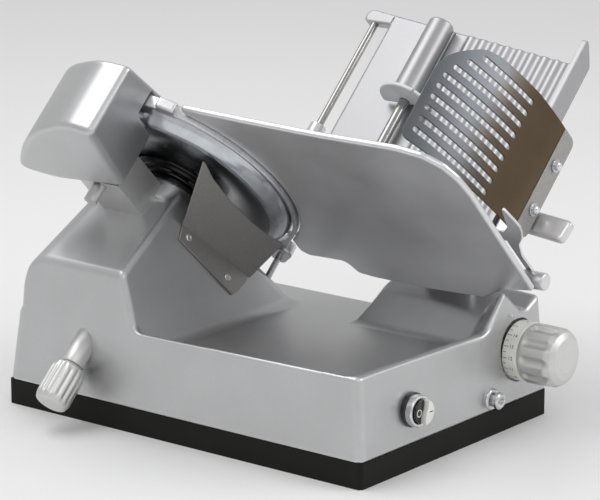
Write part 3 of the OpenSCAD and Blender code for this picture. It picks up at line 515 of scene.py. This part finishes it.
def housing(X, Y, Z):
    """Field of the casting in world mm."""
    n = -ST * X + CT * Z
    s = -CT * X - ST * Z
    # rim, tray floor
    roof = np.maximum(rmin(half(X, Z, (48, 86.3), (-149.8, RIM)), Z - 86.3, 60),
                      rmin(half(Y, Z, (57, 85), (-218.5, RIM)), Z - 85, 60))
    pocket = rmax(rmax(-(X + 145.0), -(Y + 208.0), 10), -(Z - FLOOR), 6)
    base = rmax(roof, -pocket, 4)
    # ramp
    a, k = math.radians(5.85), math.radians(24.06)
    u = (X - 47) * math.cos(a) + (Y + 212) * math.sin(a)
    slope = -math.sin(k) * u + math.cos(k) * (Z - FLOOR)
    rear = rmin(Y + 56, half(X, Y, (108, -56), (42, -20)), 12)
    ramp = rmax(rmax(slope, n - 6, 3), rear, 4)
    body = rmin(base, ramp, 5)
    # console
    console = rmax(half(X, Z, (148, 87.3), (87, 140.6)), half(X, Z, (87, 140.6), (40, 86.4)), 4)
    console = rmax(console, rmax(n - 40.8, rmax(half(n, Y, (40.8, -216), (6, -183)), Y + 183, 6), 4), 4)
    body = rmin(body, console, 7)
    # motor tower
    w = -math.sin(BETA) * X + math.cos(BETA) * Z - 208.2
    tower = rmax(SEAT - s, half(Y, Z, (100, 238.5), (35.5, PAN)), 11)
    tower = rmax(tower, rmax(w, Y - 210.5, 34), 5)
    body = rmin(body, tower, 9)
    # lip under the hub
    lip = rmax(hub_r(n, Y) - 32, rmax(-131.5 - s, s + 110, 1), 1.2)
    body = rmin(body, lip, 3)
    # outer walls
    slope_f = 0.0967 + (0.0684 - 0.0967) * blend01(X, 20, 70)
    front = -(Y + HY - slope_f * (Z - PAN)) * 0.997
    left = half(X, Z, (-146.5, 158), (-HX, PAN))
    right = half(X, Z, (HX, PAN), (HX - 3.3, 86.3))
    back = half(Y, Z, (HY, PAN), (198, 238))
    walls = rmax(rmax(left, back, 9), rmax(right, front, 6), 7)
    body = rmax(body, walls, 5)
    return np.maximum(body, PAN - Z)


GRID = 2.0   # cell of the surface grids
casting = surface("casting", housing, (-158, -229, 23), (158, 229, 236), GRID)
# seat of the dial and the slot that the carriage runs in
DIAL_X, DIAL_Z = 108.5, 76.5
cut(casting,
    lathe("c1", [(0, 0), (31.5, 0), (31.5, 14), (0, 14)], FRONTAL, (DIAL_X, DIAL_Z, 218)),
    box_piece("c2", (140.5, -170, 38), (162, 208, 58)))
dress(casting, "cast_aluminium", "base", "main_housing")

# Sharpener cover: outside and hollow, as (n, y)
SHARP = [(345, 83), (350, 96), (352, 117), (343, 143), (321, 181), (277, 225), (257, 237),
         (249, 230), (245, 215), (242, 189), (250, 101)]
SHARP_IN = [(341, 88), (345, 98), (347, 117), (338, 141), (317, 178), (275, 219), (258, 229),
            (220, 225), (220, 106), (250, 106)]


def cover_field(n, y, s):
    """Hood with a slanted far end, hollow below."""
    out = convex(n, y, SHARP, 6)
    out = rmax(rmax(out, (-162.5 - 0.232 * (345 - n) - s) * 0.974, 4), s + 80, 7)
    hollow = np.maximum(convex(n, y, SHARP_IN, 4), np.abs(s + 129) - 45)
    out = rmax(out, -hollow, 1.5)
    # room for the blade and its ring
    slot = np.maximum(hub_r(n, y) - 133.5, np.abs(s + 156.5) - 14.5)
    return rmax(out, -slot, 1.5)


cover = surface("sharpener_hood", cover_field, (236, 78, -192), (356, 242, -76), GRID * 0.8, xf=tilted)
dress(cover, "cast_aluminium", "sharpener", "sharpener_cover")

# Gauge plate
GAUGE = [(284, 54.7), (279, -31), (275.5, -114), (276, -203), (270, -232), (257, -249),
         (238, -257), (214, -260), (51, -256), (43.5, -220), (18, -183), (13, -113), (14, -46),
         (17, -26), (36, -18), (34, 29), (40, 38), (90, 38), (90, 54.7)]
GAUGE_R = [2, 60, 60, 40, 20, 20, 20, 30, 3, 6, 14, 30, 20, 8, 8, 8, 8, 4, 2]
gauge_line = [tuple(p) for p in soft(GAUGE, GAUGE_R, closed=True, k=5)]


def gauge_field(n, y, s):
    """Plate with a round cut along the blade."""
    f = poly_sd(n, y, gauge_line)
    f = rmax(f, 133 - hub_r(n, y), 1.2)
    return rmax(f, np.abs(s + 163.25) - 3.25, 2.4)


gauge = surface("gauge_face", gauge_field, (8, -264, -170), (290, 60, -156), GRID * 0.75, xf=tilted)
dress(gauge, "cast_aluminium", "gauge", "gauge_plate", mat=SMOOTH_CAST)

# Guard ring
RING_IN, RING_OUT = 127.5, 131.5
TAB_ANGLE = math.radians(-23)
TAB = [(HUB_N + math.cos(TAB_ANGLE) * p - math.sin(TAB_ANGLE) * q,
        HUB_Y + math.sin(TAB_ANGLE) * p + math.cos(TAB_ANGLE) * q)
       for p, q in ((117.5, -11), (139.5, -11), (139.5, 9), (117.5, 9))]


def lugs_field(n, y, s):
    """The boss of the tie rod and the tab under the sharpener cover, outside the ring."""
    r = hub_r(n, y)
    a, b = np.array((30.2, 67.9)), np.array((41.9, 54.9))
    e = b - a
    t = np.clip(((n - a[0]) * e[0] + (y - a[1]) * e[1]) / (e @ e), 0, 1)
    boss = rmax(np.hypot(n - a[0] - e[0] * t, y - a[1] - e[1] * t) - 9, np.abs(s + 159) - 7, 1.6)
    tab = rmax(rmax(convex(n, y, TAB, 2), np.abs(s + 160) - 6, 1.5), RING_IN - r, 1)
    return rmax(rmin(boss, tab, 3), RING_IN + 0.2 - r, 0.6)


lugs = surface("ring_lugs", lugs_field, (14, -12, -171), (300, 262, -149), GRID * 0.75, xf=tilted)
dress(lugs, "cast_aluminium", "base", mat=POLISHED)
RING_PROF = [(RING_IN, -168), (RING_OUT, -168), (RING_OUT, -155), (RING_IN, -155)]
ring = lathe("ring_lip", soft(RING_PROF, 1.2, closed=True), TILTED, AXIS, 240, closed=True)
dress(ring, "cast_aluminium", "base", "blade_guard_ring", mat=POLISHED)

# Blade, hub and tie rod
EDGE, FLAT = -166.0, -145.0   # s of the cutting edge and of the flat behind it
FLAT_R = 107
blade_prof = soft([(10, FLAT), (FLAT_R, FLAT), (112.2, -145.84), (116.04, -148.57), (120.04, -152.56),
                   (123, -157.6), (124.6, -163.06), (125, EDGE)], 10, k=6)
blade_prof += [(124.5, EDGE), (119.88, -158.44), (113.48, -152.56), (106, -148), (10, -148)]
blade = lathe("blade_disc", blade_prof, TILTED, AXIS, 200, closed=True)
dress(blade, "blade_steel", "blade_rotor", "blade", mat=BLADE_MAT)
# second slot: the flat's darker copy of the steel, its dark reflection painted in
blade.data.materials.append(FLAT_DARK_REFLECTION_MAT)
for p in blade.data.polygons:
    v = blade.data.vertices[p.vertices[0]].co / MM
    n, s = -ST * v.x + CT * v.z, -CT * v.x - ST * v.z
    if hub_r(n, v.y) < FLAT_R and s > FLAT - 1:
        p.material_index = 1
hub = lathe("hub_stack", soft([(12.5, -131.6), (30, -131.6), (30, -134.6), (27, -135.2), (27, -137),
                               (34, -137.6), (34, -140.4), (12.5, -140.4)], 0.8), TILTED, AXIS, closed=True)
dress(hub, "black_plastic", "base", "hub_collar")
flange = lathe("hub_flange", soft([(10.2, -141.3), (40, -141.3), (40, -142.8), (48, -143), (48, -145),
                                   (10.2, -145)], 0.5), TILTED, AXIS, closed=True)
dress(flange, "black_plastic", "blade_rotor", "blade_flange")

grip = [(0, 80), (13, 80), (16.6, 83), (18, 89)] + [(18.3, h) for h in range(92, 118, 2)]
grip += [(18, 119), (16.2, 124), (14.3, 125), (0, 125)]
knob = lathe("tie_knob", soft(grip, 2.0), TILTED, AXIS, 240,
             wave=lambda a, h: 1 - 0.085 * window(h, 82, 123, 7) * (0.5 + 0.5 * math.cos(15 * a)) ** 1.5)
dress(knob, "cast_aluminium", "cover_lock", "tie_rod_knob", mat=KNOB_CAST)
rod = lathe("tie_stem", soft([(0, -160), (5, -160), (5, 30), (9, 30), (9, 80), (0, 80)], 0.8),
            TILTED, AXIS, 64)
dress(rod, "cast_aluminium", "cover_lock", "cover_tie_rod", mat=SMOOTH_CAST)
tie_sleeve = lathe("tie_sleeve", soft([(9.1, 36), (12, 36), (12, 79), (9.1, 79)], [0, 0, 1.2, 0]),
                   TILTED, AXIS, 72, closed=True)
dress(tie_sleeve, "cast_aluminium", "base", "tie_rod_sleeve", mat=KNOB_CAST)

# Dial and knob
DIAL = (DIAL_X, DIAL_Z, 0)
DIAL_R, INK_R = 30.0, 30.12          # the skirt, and its print just above it
DIAL_TURN = math.radians(336)        # for the full opening of 15 mm
DIAL_REAR, DIAL_FRONT = 221.6, 237.6
skirt = lathe("dial_skirt", soft([(5.2, DIAL_REAR), (DIAL_R, DIAL_REAR), (DIAL_R, DIAL_FRONT),
                                  (5.2, DIAL_FRONT)], 0.5), FRONTAL, DIAL, 160, closed=True)
dress(skirt, "white_plastic", "dial", "thickness_dial")
grip = [(0, 0), (27.5, 0), (30.5, 4)] + [(30.5 - 0.0009 * (h - 4) ** 2, h) for h in range(6, 32, 2)]
grip += [(29.5, 32), (26.5, 37.5), (21, 40.6), (13, 42), (0, 42)]
dial_grip = lathe("dial_knob", soft([(r, DIAL_FRONT + h) for r, h in grip], 3.0, k=5), FRONTAL, DIAL, 240,
              wave=lambda a, h: 1 - 0.085 * window(h - DIAL_FRONT, 1.5, 37, 8)
              * max(0.0, math.cos(10 * a) + 0.25) ** 0.9)
dress(dial_grip, "cast_aluminium", "dial", "thickness_knob", mat=KNOB_CAST)


def on_dial(angle, across, along):
    """Point of the print: across is a length round the skirt from the angle, along runs to the front."""
    a = angle + across / DIAL_R
    return Vector((INK_R * math.sin(a), INK_R * math.cos(a), along))


marks = bmesh.new()
TICK_W, TICK_Y = 0.26, 222.9
for i in range(31):
    a = DIAL_TURN / 30 * i
    end = TICK_Y + (5.2 if i % 2 == 0 else 3.4)
    corners = [on_dial(a, -TICK_W, TICK_Y), on_dial(a, TICK_W, TICK_Y),
               on_dial(a, TICK_W, end), on_dial(a, -TICK_W, end)]
    marks.faces.new([marks.verts.new(p) for p in corners])
for i in range(15):
    text = bpy.data.curves.new("digit", "FONT")
    text.body = str(i)
    text.size = 5.2
    text.align_x = "CENTER"
    text.align_y = "CENTER"
    digit = add_object("digit", text)
    b = bmesh.new()
    b.from_mesh(digit.to_mesh())
    for v in b.verts:
        v.co = on_dial(DIAL_TURN / 15 * i, v.co.y, 231.6 + v.co.x)
    me = bpy.data.meshes.new("digit")
    b.to_mesh(me)
    marks.from_mesh(me)
    b.free()
    digit.to_mesh_clear()
    bpy.data.objects.remove(digit)
me = bpy.data.meshes.new("dial_marks")
marks.to_mesh(me)
for v, c in zip(me.vertices, place(FRONTAL, DIAL, [v.co for v in me.vertices])):
    v.co = c
dial_print = add_object("dial_marks", me)
dress(dial_print, "white_plastic", "dial", mat=INK)

# Switch and lock
SW_X, SW_Z = -72, 59
SW = (SW_X, SW_Z, 0)
SW_R = 11.9
bezel = lathe("switch_bezel", soft([(12.6, 220.2), (17, 220.2), (17, 225.4), (15.8, 226.4),
                                    (12.6, 226.4)], 0.8), FRONTAL, SW, closed=True)
dress(bezel, "black_plastic", "base", "switch_frame")
chrome_ring = lathe("switch_ring", soft([(12.3, 225.6), (15.8, 225.6), (15.8, 232.2), (15.0, 233.4),
                                         (12.9, 233.4), (12.3, 232.4)], 0.6), FRONTAL, SW, closed=True)
dress(chrome_ring, "chrome", "base", mat=SATIN_CHROME)


def divide(side):
    """Outline of the left (-1) or right (1) half; they meet on an S-shaped line with a small gap."""
    line = [(2.6 * math.sin(v / SW_R * math.pi * 0.75) + 0.25 * side, v)
            for v in np.linspace(-11.7, 11.7, 15)]
    a0, a1 = (math.atan2(y, x) for x, y in (line[0], line[-1]))
    if side < 0:
        a0 += 2 * math.pi
    return line + [(SW_R * math.cos(t), SW_R * math.sin(t)) for t in np.linspace(a1, a0, 26)[1:-1]]


off = plate("switch_half_0", divide(-1), 226.5, 236.0, FRONTAL, SW, edge=1.2)
dress(off, "black_plastic", "off_half", "switch_off")
on = plate("switch_half_I", divide(1), 226.5, 240.8, FRONTAL, SW, edge=1.4)
dress(on, "white_plastic", "on_half", "switch_on")
zero = lathe("mark_0", [(2.9, 235.8), (3.8, 235.8), (3.8, 236.15), (2.9, 236.15)],
             FRONTAL, (SW_X - 6.3, SW_Z, 0), 48, closed=True)
dress(zero, "white_plastic", "off_half")
one = plate("mark_I", [(3.6, -0.45), (9.2, -0.45), (9.2, 0.45), (3.6, 0.45)], 240.6, 240.95,
            FRONTAL, SW, edge=0)
dress(one, "black_plastic", "on_half")

LOCK = (58.6, 37.5, 0)
sleeve = lathe("lock_ring", soft([(6.2, 221), (11, 221), (11, 225.2), (9.6, 226.6), (6.2, 226.6)], 0.8),
               FRONTAL, LOCK, 72, closed=True)
dress(sleeve, "chrome", "base", "lock_sleeve", mat=SATIN_CHROME)
button = lathe("lock_core", soft([(0, 221), (5.9, 221), (5.9, 231), (8.5, 231), (8.5, 234.6), (6.6, 236),
                                  (0, 236)], 0.9), FRONTAL, LOCK, 72)
cut(button, box_piece("c3", (-5.6, -1.0, 233.8), (5.6, 1.0, 240), FRONTAL, LOCK))
dress(button, "chrome", "lock_push", "lock_button", mat=SATIN_CHROME)

# Hand guard: centre of its bend as (n, y), radius and thickness; angles count up from the fold
GUARD_N, GUARD_Y = 39.4, 79.7
GUARD_R, GUARD_T = 304.0, 2.0
GUARD_LO, GUARD_HI = 7.35, 38.3
SLOTS = (36.6, 36.6, 36.6, 36.6, 36.6, 36.4, 35.4, 33.6, 31.2)   # upper ends
SLOT_W = 3.0                                                    # half their width


def guard_piece():
    """Bent sheet, drawn flat as (angle, s) with the slots cut, then rolled to its radius."""
    k = math.radians(1) * GUARD_R
    edge = [(GUARD_LO, -206), (38.2, -206), (GUARD_HI, -292), (36.9, -308.6), (34.6, -321), (31.4, -335),
            (27.6, -338.4), (17.3, -336.6), (GUARD_LO, -331)]
    loops = [soft([(t * k, s) for t, s in edge], [1, 9, 60, 40, 30, 30, 30, 60, 1], closed=True, k=5)]
    for i, top in enumerate(SLOTS):
        s0 = -213.5 - 13.65 * i
        a = np.array((17.4 * k, s0))
        b = np.array((top * k, s0 - 6.5 + 0.44 * i))
        e = (b - a) / np.linalg.norm(b - a) * SLOT_W
        f = np.array((-e[1], e[0]))
        arc = [b - e + e * math.sin(q) + f * math.cos(q) for q in np.linspace(0, math.pi, 9)]
        arc += [a + e - e * math.sin(q) - f * math.cos(q) for q in np.linspace(0, math.pi, 9)]
        loops.append(arc)
    bm = bmesh.new()
    edges = []
    for loop in loops:
        pts = []
        for p, q in zip(loop, loop[1:] + loop[:1]):
            n = max(1, int(np.linalg.norm(q - p) / 5))
            pts += [p + (q - p) * j / n for j in range(n)]
        vs = [bm.verts.new((p[0], p[1], 0)) for p in pts]
        edges += [bm.edges.new((v, w)) for v, w in zip(vs, vs[1:] + vs[:1])]
    bmesh.ops.triangle_fill(bm, use_beauty=True, use_dissolve=False, edges=edges)
    # cuts across keep the bend smooth
    for j in range(1, 40):
        u = (GUARD_LO + (GUARD_HI - GUARD_LO) * j / 40) * k
        parts = bm.verts[:] + bm.edges[:] + bm.faces[:]
        bmesh.ops.bisect_plane(bm, geom=parts, plane_co=(u, 0, 0), plane_no=(1, 0, 0))
    bmesh.ops.recalc_face_normals(bm, faces=bm.faces)
    me = bpy.data.meshes.new("guard_sheet")
    bm.to_mesh(me)
    bm.free()
    for v in me.vertices:
        a = math.radians(v.co.x / k)
        v.co = tilted(np.array((GUARD_N + GUARD_R * math.sin(a), GUARD_Y - GUARD_R * math.cos(a), v.co.y)))
    me.shade_smooth()
    ob = add_object("guard_sheet", me)
    m = ob.modifiers.new("wall", "SOLIDIFY")
    m.thickness = GUARD_T * MM
    m.offset = 0
    bevel(ob, 0.4, 2, 50)
    return ob


guard = guard_piece()
# the guard's sheet carries a painted reflection in its colour
dress(guard, "guard_mirror", "carriage", "hand_guard", mat=GUARD_REFLECTION_MAT)
# the folded edge that the bolts hold
n_in = GUARD_N + (GUARD_R - 1) * math.sin(math.radians(7.6)) + 1.5
lip_line = soft([(57, -331), (n_in, -331), (n_in, -211), (57, -211)], [8, 1, 1, 8], closed=True)
lip = plate("guard_flange", lip_line, -1, 1, SIDE, (0, 0, -222.6), edge=0.4)
dress(lip, "guard_mirror", "carriage", mat=DEFLECTOR_MAT)

# guard strip, its end plate, the stub and the bolts
strip_line = soft([(57.5, -322), (75.5, -322), (75.5, -206), (57.5, -206)], 2, closed=True)
strip = plate("guard_bar", strip_line, -221.4, -196.2, SIDE, edge=1.2)
dress(strip, "cast_aluminium", "carriage", "guard_strip", mat=SMOOTH_CAST)
end_line = soft([(128, -232), (107, -237), (95, -239), (86, -237), (74, -232), (60, -222), (40, -216),
                 (4, -216), (4, -209.5), (76, -209.5), (90, -222)],
                [1.5, 8, 8, 8, 8, 8, 8, 2, 2, 6, 8], closed=True)
end_plate = plate("guard_end", end_line, -206, -203, TILTED, edge=0.8)
dress(end_plate, "cast_aluminium", "carriage", mat=SMOOTH_CAST)
stub = lathe("guard_stub", soft([(0, 209.5), (9, 209.5), (9, 228), (9, 236), (0, 236)], [0, 0, 0, 2.5, 0]),
             STUB, (10, -195, 0), 64)
dress(stub, "cast_aluminium", "carriage", mat=SMOOTH_CAST)
for i, s in enumerate((-294, -240.5)):
    washer = lathe("washer_%d" % i, soft([(0, 223.6), (7, 223.6), (7, 225.2), (0, 225.2)], 0.3),
                   STUB, (68.5, s, 0), 48)
    dress(washer, "steel", "carriage", *(["guard_bolts"] if i == 0 else []))
    nut = lathe("dome_nut_%d" % i, soft([(0, 225.0), (4.8, 225.0), (4.8, 227.6), (4.2, 229.0), (2.6, 229.8),
                                         (0, 230.0)], 0.6), STUB, (68.5, s, 0), 36)
    dress(nut, "chrome", "carriage")

# Carriage table, fence, handle and rods
FENCE_Y = -190.0
TABLE_TOP, TABLE_UNDER = 60, 55      # n
WAVE = 16.4                          # pitch of the ribs
ROD_N, ROD_Y, ROD_R = 70, -14, 5.5   # the pusher's rod


def far_s(y):
    """The s of the table's slanted upper end."""
    return -419 - (y - FENCE_Y) * 0.125


TABLE = [(FENCE_Y, -169), (63, -169), (63, -439), (99, -439), (99, far_s(99)), (FENCE_Y, far_s(FENCE_Y))]
deck_line = [tuple(p) for p in soft(TABLE, [1, 3, 3, 5, 8, 2], closed=True)]


def deck_field(n, y, s):
    """Flat plate with soft waves, a thicker lug at the rear and the ridge over the pusher's rod."""
    plan = poly_sd(y, s, deck_line)
    w = np.clip((y + 184.2) / 6, 0, 1) * np.clip((-37 - y) / 6, 0, 1) * np.clip((-174 - s) / 6, 0, 1)
    top = TABLE_TOP + w * 1.1 * (1 + np.cos((y + 176) * 2 * math.pi / WAVE))
    f = rmax(rmax(plan, (n - top) * 0.92, 0.9), TABLE_UNDER - n, 0.9)
    f = rmin(f, rmax(rmax(plan, 62.5 - y, 2), np.abs(n - 54) - 6, 2.5), 0.5)
    ridge = rmax(rmax(np.hypot(y + 9, n - ROD_N) - 14, 58 - n, 1), rmax(-441 - s, s + 344.5, 2), 2.5)
    return rmin(f, ridge, 2)


deck = surface("ribbed_table", deck_field, (44, -194, -461), (88, 104, -165), GRID * 0.8, xf=tilted)
dress(deck, "cast_aluminium", "carriage", "carriage_table", mat=DECK_MAT)
fence_line = soft([(55, -422), (72, -436), (81, -441), (81, -169), (55, -169)], [5, 12, 7, 2, 1],
                  closed=True, k=6)
fence = plate("fence_wall", fence_line, FENCE_Y - 6, FENCE_Y, SIDE, edge=1.6)
dress(fence, "cast_aluminium", "carriage", "carriage_fence", mat=DECK_MAT)


def handle_field(n, y, s):
    """Flat bar, turned a little in the table's plane."""
    a = math.radians(-6)
    yy, ss = y + 216, s + 236.5
    p = yy * math.cos(a) + ss * math.sin(a)
    q = -yy * math.sin(a) + ss * math.cos(a)
    f = rmax(np.abs(p + 4) - 42, np.abs(q) - 12, 5)
    return rmax(f, np.abs(n - 50) - 4.8, 2.6)


handle = surface("push_handle", handle_field, (42, -268, -258), (58, -172, -216), GRID * 0.6, xf=tilted)
dress(handle, "cast_aluminium", "carriage", "carriage_handle", mat=SMOOTH_CAST)
rear = lathe("rear_shaft", soft([(0, -450), (4, -450), (4, -180), (0, -180)], 0.8), TILTED, (55, 86, 0), 40)
dress(rear, "chrome", "carriage", "rear_rod", mat=ROD_MAT)
front_rod = lathe("pusher_shaft", soft([(0, -428), (ROD_R, -428), (ROD_R, -180), (0, -180)], 0.8),
                  TILTED, (ROD_N, ROD_Y, 0), 48)
dress(front_rod, "chrome", "carriage", "pusher_rod", mat=ROD_MAT)


def disc_field(n, y, s):
    """Disc on the rod, cut off flat above the ribs."""
    r = np.hypot(n - ROD_N, y - ROD_Y)
    f = rmax(rmax(r - 29, np.abs(s + 342) - 2, 0.9), 65.3 - n, 0.5)
    return rmax(f, ROD_R - r, 0.3)


disc = surface("clear_stop", disc_field, (60, -46, -347), (102, 18, -337), GRID * 0.5, xf=tilted)
dress(disc, "disc_clear", "carriage", "stop_disc")


# Deflector
def rot(ry, rz):
    """Turn about Y, then about Z, in degrees."""
    m = np.eye(3)
    for a, (i, j) in ((ry, (2, 0)), (rz, (0, 1))):
        r = np.eye(3)
        c, s = math.cos(math.radians(a)), math.sin(math.radians(a))
        r[i, i] = r[j, j] = c
        r[i, j], r[j, i] = -s, s
        m = r @ m
    return m


SHEET_T = 2   # thickness
FLANGE = rot(73.14, -90)
WING = rot(118.72, -131.06)
flange_at = np.linalg.solve(FLANGE, np.array((-56.5, 80.2, 174.0)))
wing_at = np.linalg.solve(WING, np.array((-46, 84.5, 187.8)))
flange_line = soft([(0, 0), (69.3, 58.5), (67.9, 67), (57.4, 91.8), (-14.4, 10.5)], [1, 1, 4, 6, 3],
                   closed=True)
flange_plate = plate("deflector_flange", flange_line, 0, SHEET_T, FLANGE, flange_at, edge=0.5)
dress(flange_plate, "steel", "base", "deflector_plate", mat=DEFLECTOR_MAT)
wing_line = soft([(0, 0), (-14.7, 3.6), (-84.8, 16), (-79.3, 19.4), (-60.3, 27.7), (-29.7, 47.1),
                  (-1.2, 69.7), (20.6, 89.9), (32.7, 106.4), (78.4, 74.9)],
                 [1, 4, 1, 8, 12, 12, 12, 10, 1.5, 1.5], closed=True)
wing = plate("deflector_wing", wing_line, 0, SHEET_T, WING, wing_at, edge=0.5)
dress(wing, "steel", "base", mat=DEFLECTOR_MAT)
for i, (u, v) in enumerate(((0.8, 14.4), (50.7, 57.2))):
    head = lathe("deflector_screw_%d" % i, soft([(0, 1), (4.2, 1), (4.2, 2.5), (3.5, 3.1), (1.9, 3.2),
                                                 (1.7, 2.4), (0, 2.4)], 0.3),
                 FLANGE, flange_at + np.array((u, v, 0)), 40)
    dress(head, "steel", "base", mat=SATIN_CHROME)

# Index dot, CAD nodes that stay
dot = lathe("index_dot", [(0, 221.0), (1.3, 221.0), (1.3, 221.6), (0, 221.6)], FRONTAL, (96.0, 113.5, 0), 24)
dress(dot, "chrome", "base")

BEVELS = {"base_pan": 1.2, "sharpener_bracket": 3.0}
for name in ("base_pan", "sharpener_bracket", "rubber_feet", "motor", "cable_gland", "blade_cover",
             "carriage_arm", "pusher_arm", "pusher_plate", "stone_frame", "carriage_trolley",
             "gauge_carrier", "sharpener_pin"):
    bevel(nodes[name], BEVELS.get(name, 0.5), 3, 40)
for name in ("sharpener_pin", "sharpener_bracket"):
    nodes[name].data.materials[0] = KNOB_CAST

# Floor and light
bm = bmesh.new()
bmesh.ops.create_grid(bm, x_segments=1, y_segments=1, size=12)
me = bpy.data.meshes.new("floor")
bm.to_mesh(me)
bm.free()
paint = Nodes("floor_paint")
paint.set(Base_Color=paint.mix(paint.noise(1.5, 2), (0.86, 0.86, 0.86), (0.9, 0.9, 0.9)), Roughness=0.7)
me.materials.append(paint.mat)
add_object("floor", me)


def softbox(name, pos, target, size, power):
    """Area light aimed at a point."""
    d = bpy.data.lights.new(name, "AREA")
    d.shape = "RECTANGLE"
    d.size, d.size_y = size
    d.energy = power
    ob = add_object(name, d)
    ob.location = pos
    ob.rotation_euler = (Vector(target) - Vector(pos)).to_track_quat("-Z", "Y").to_euler()


softbox("key", (-1.3, -1.9, 2.1), (0, 0, 0.1), (1.4, 1.2), 6)
softbox("top", (-0.4, 0.9, 2.3), (0, 0, 0.1), (2.2, 1.2), 20)
softbox("front", (1.1, -2.0, 1.5), (0, 0, 0.15), (1.4, 1.2), 15)
world = bpy.data.worlds.new("world")
world.use_nodes = True
sky = world.node_tree.nodes["Background"]
sky.inputs["Color"].default_value = (1, 1, 1, 1)
sky.inputs["Strength"].default_value = 0.62
bpy.context.scene.world = world
bpy.context.scene.view_settings.view_transform = "Standard"
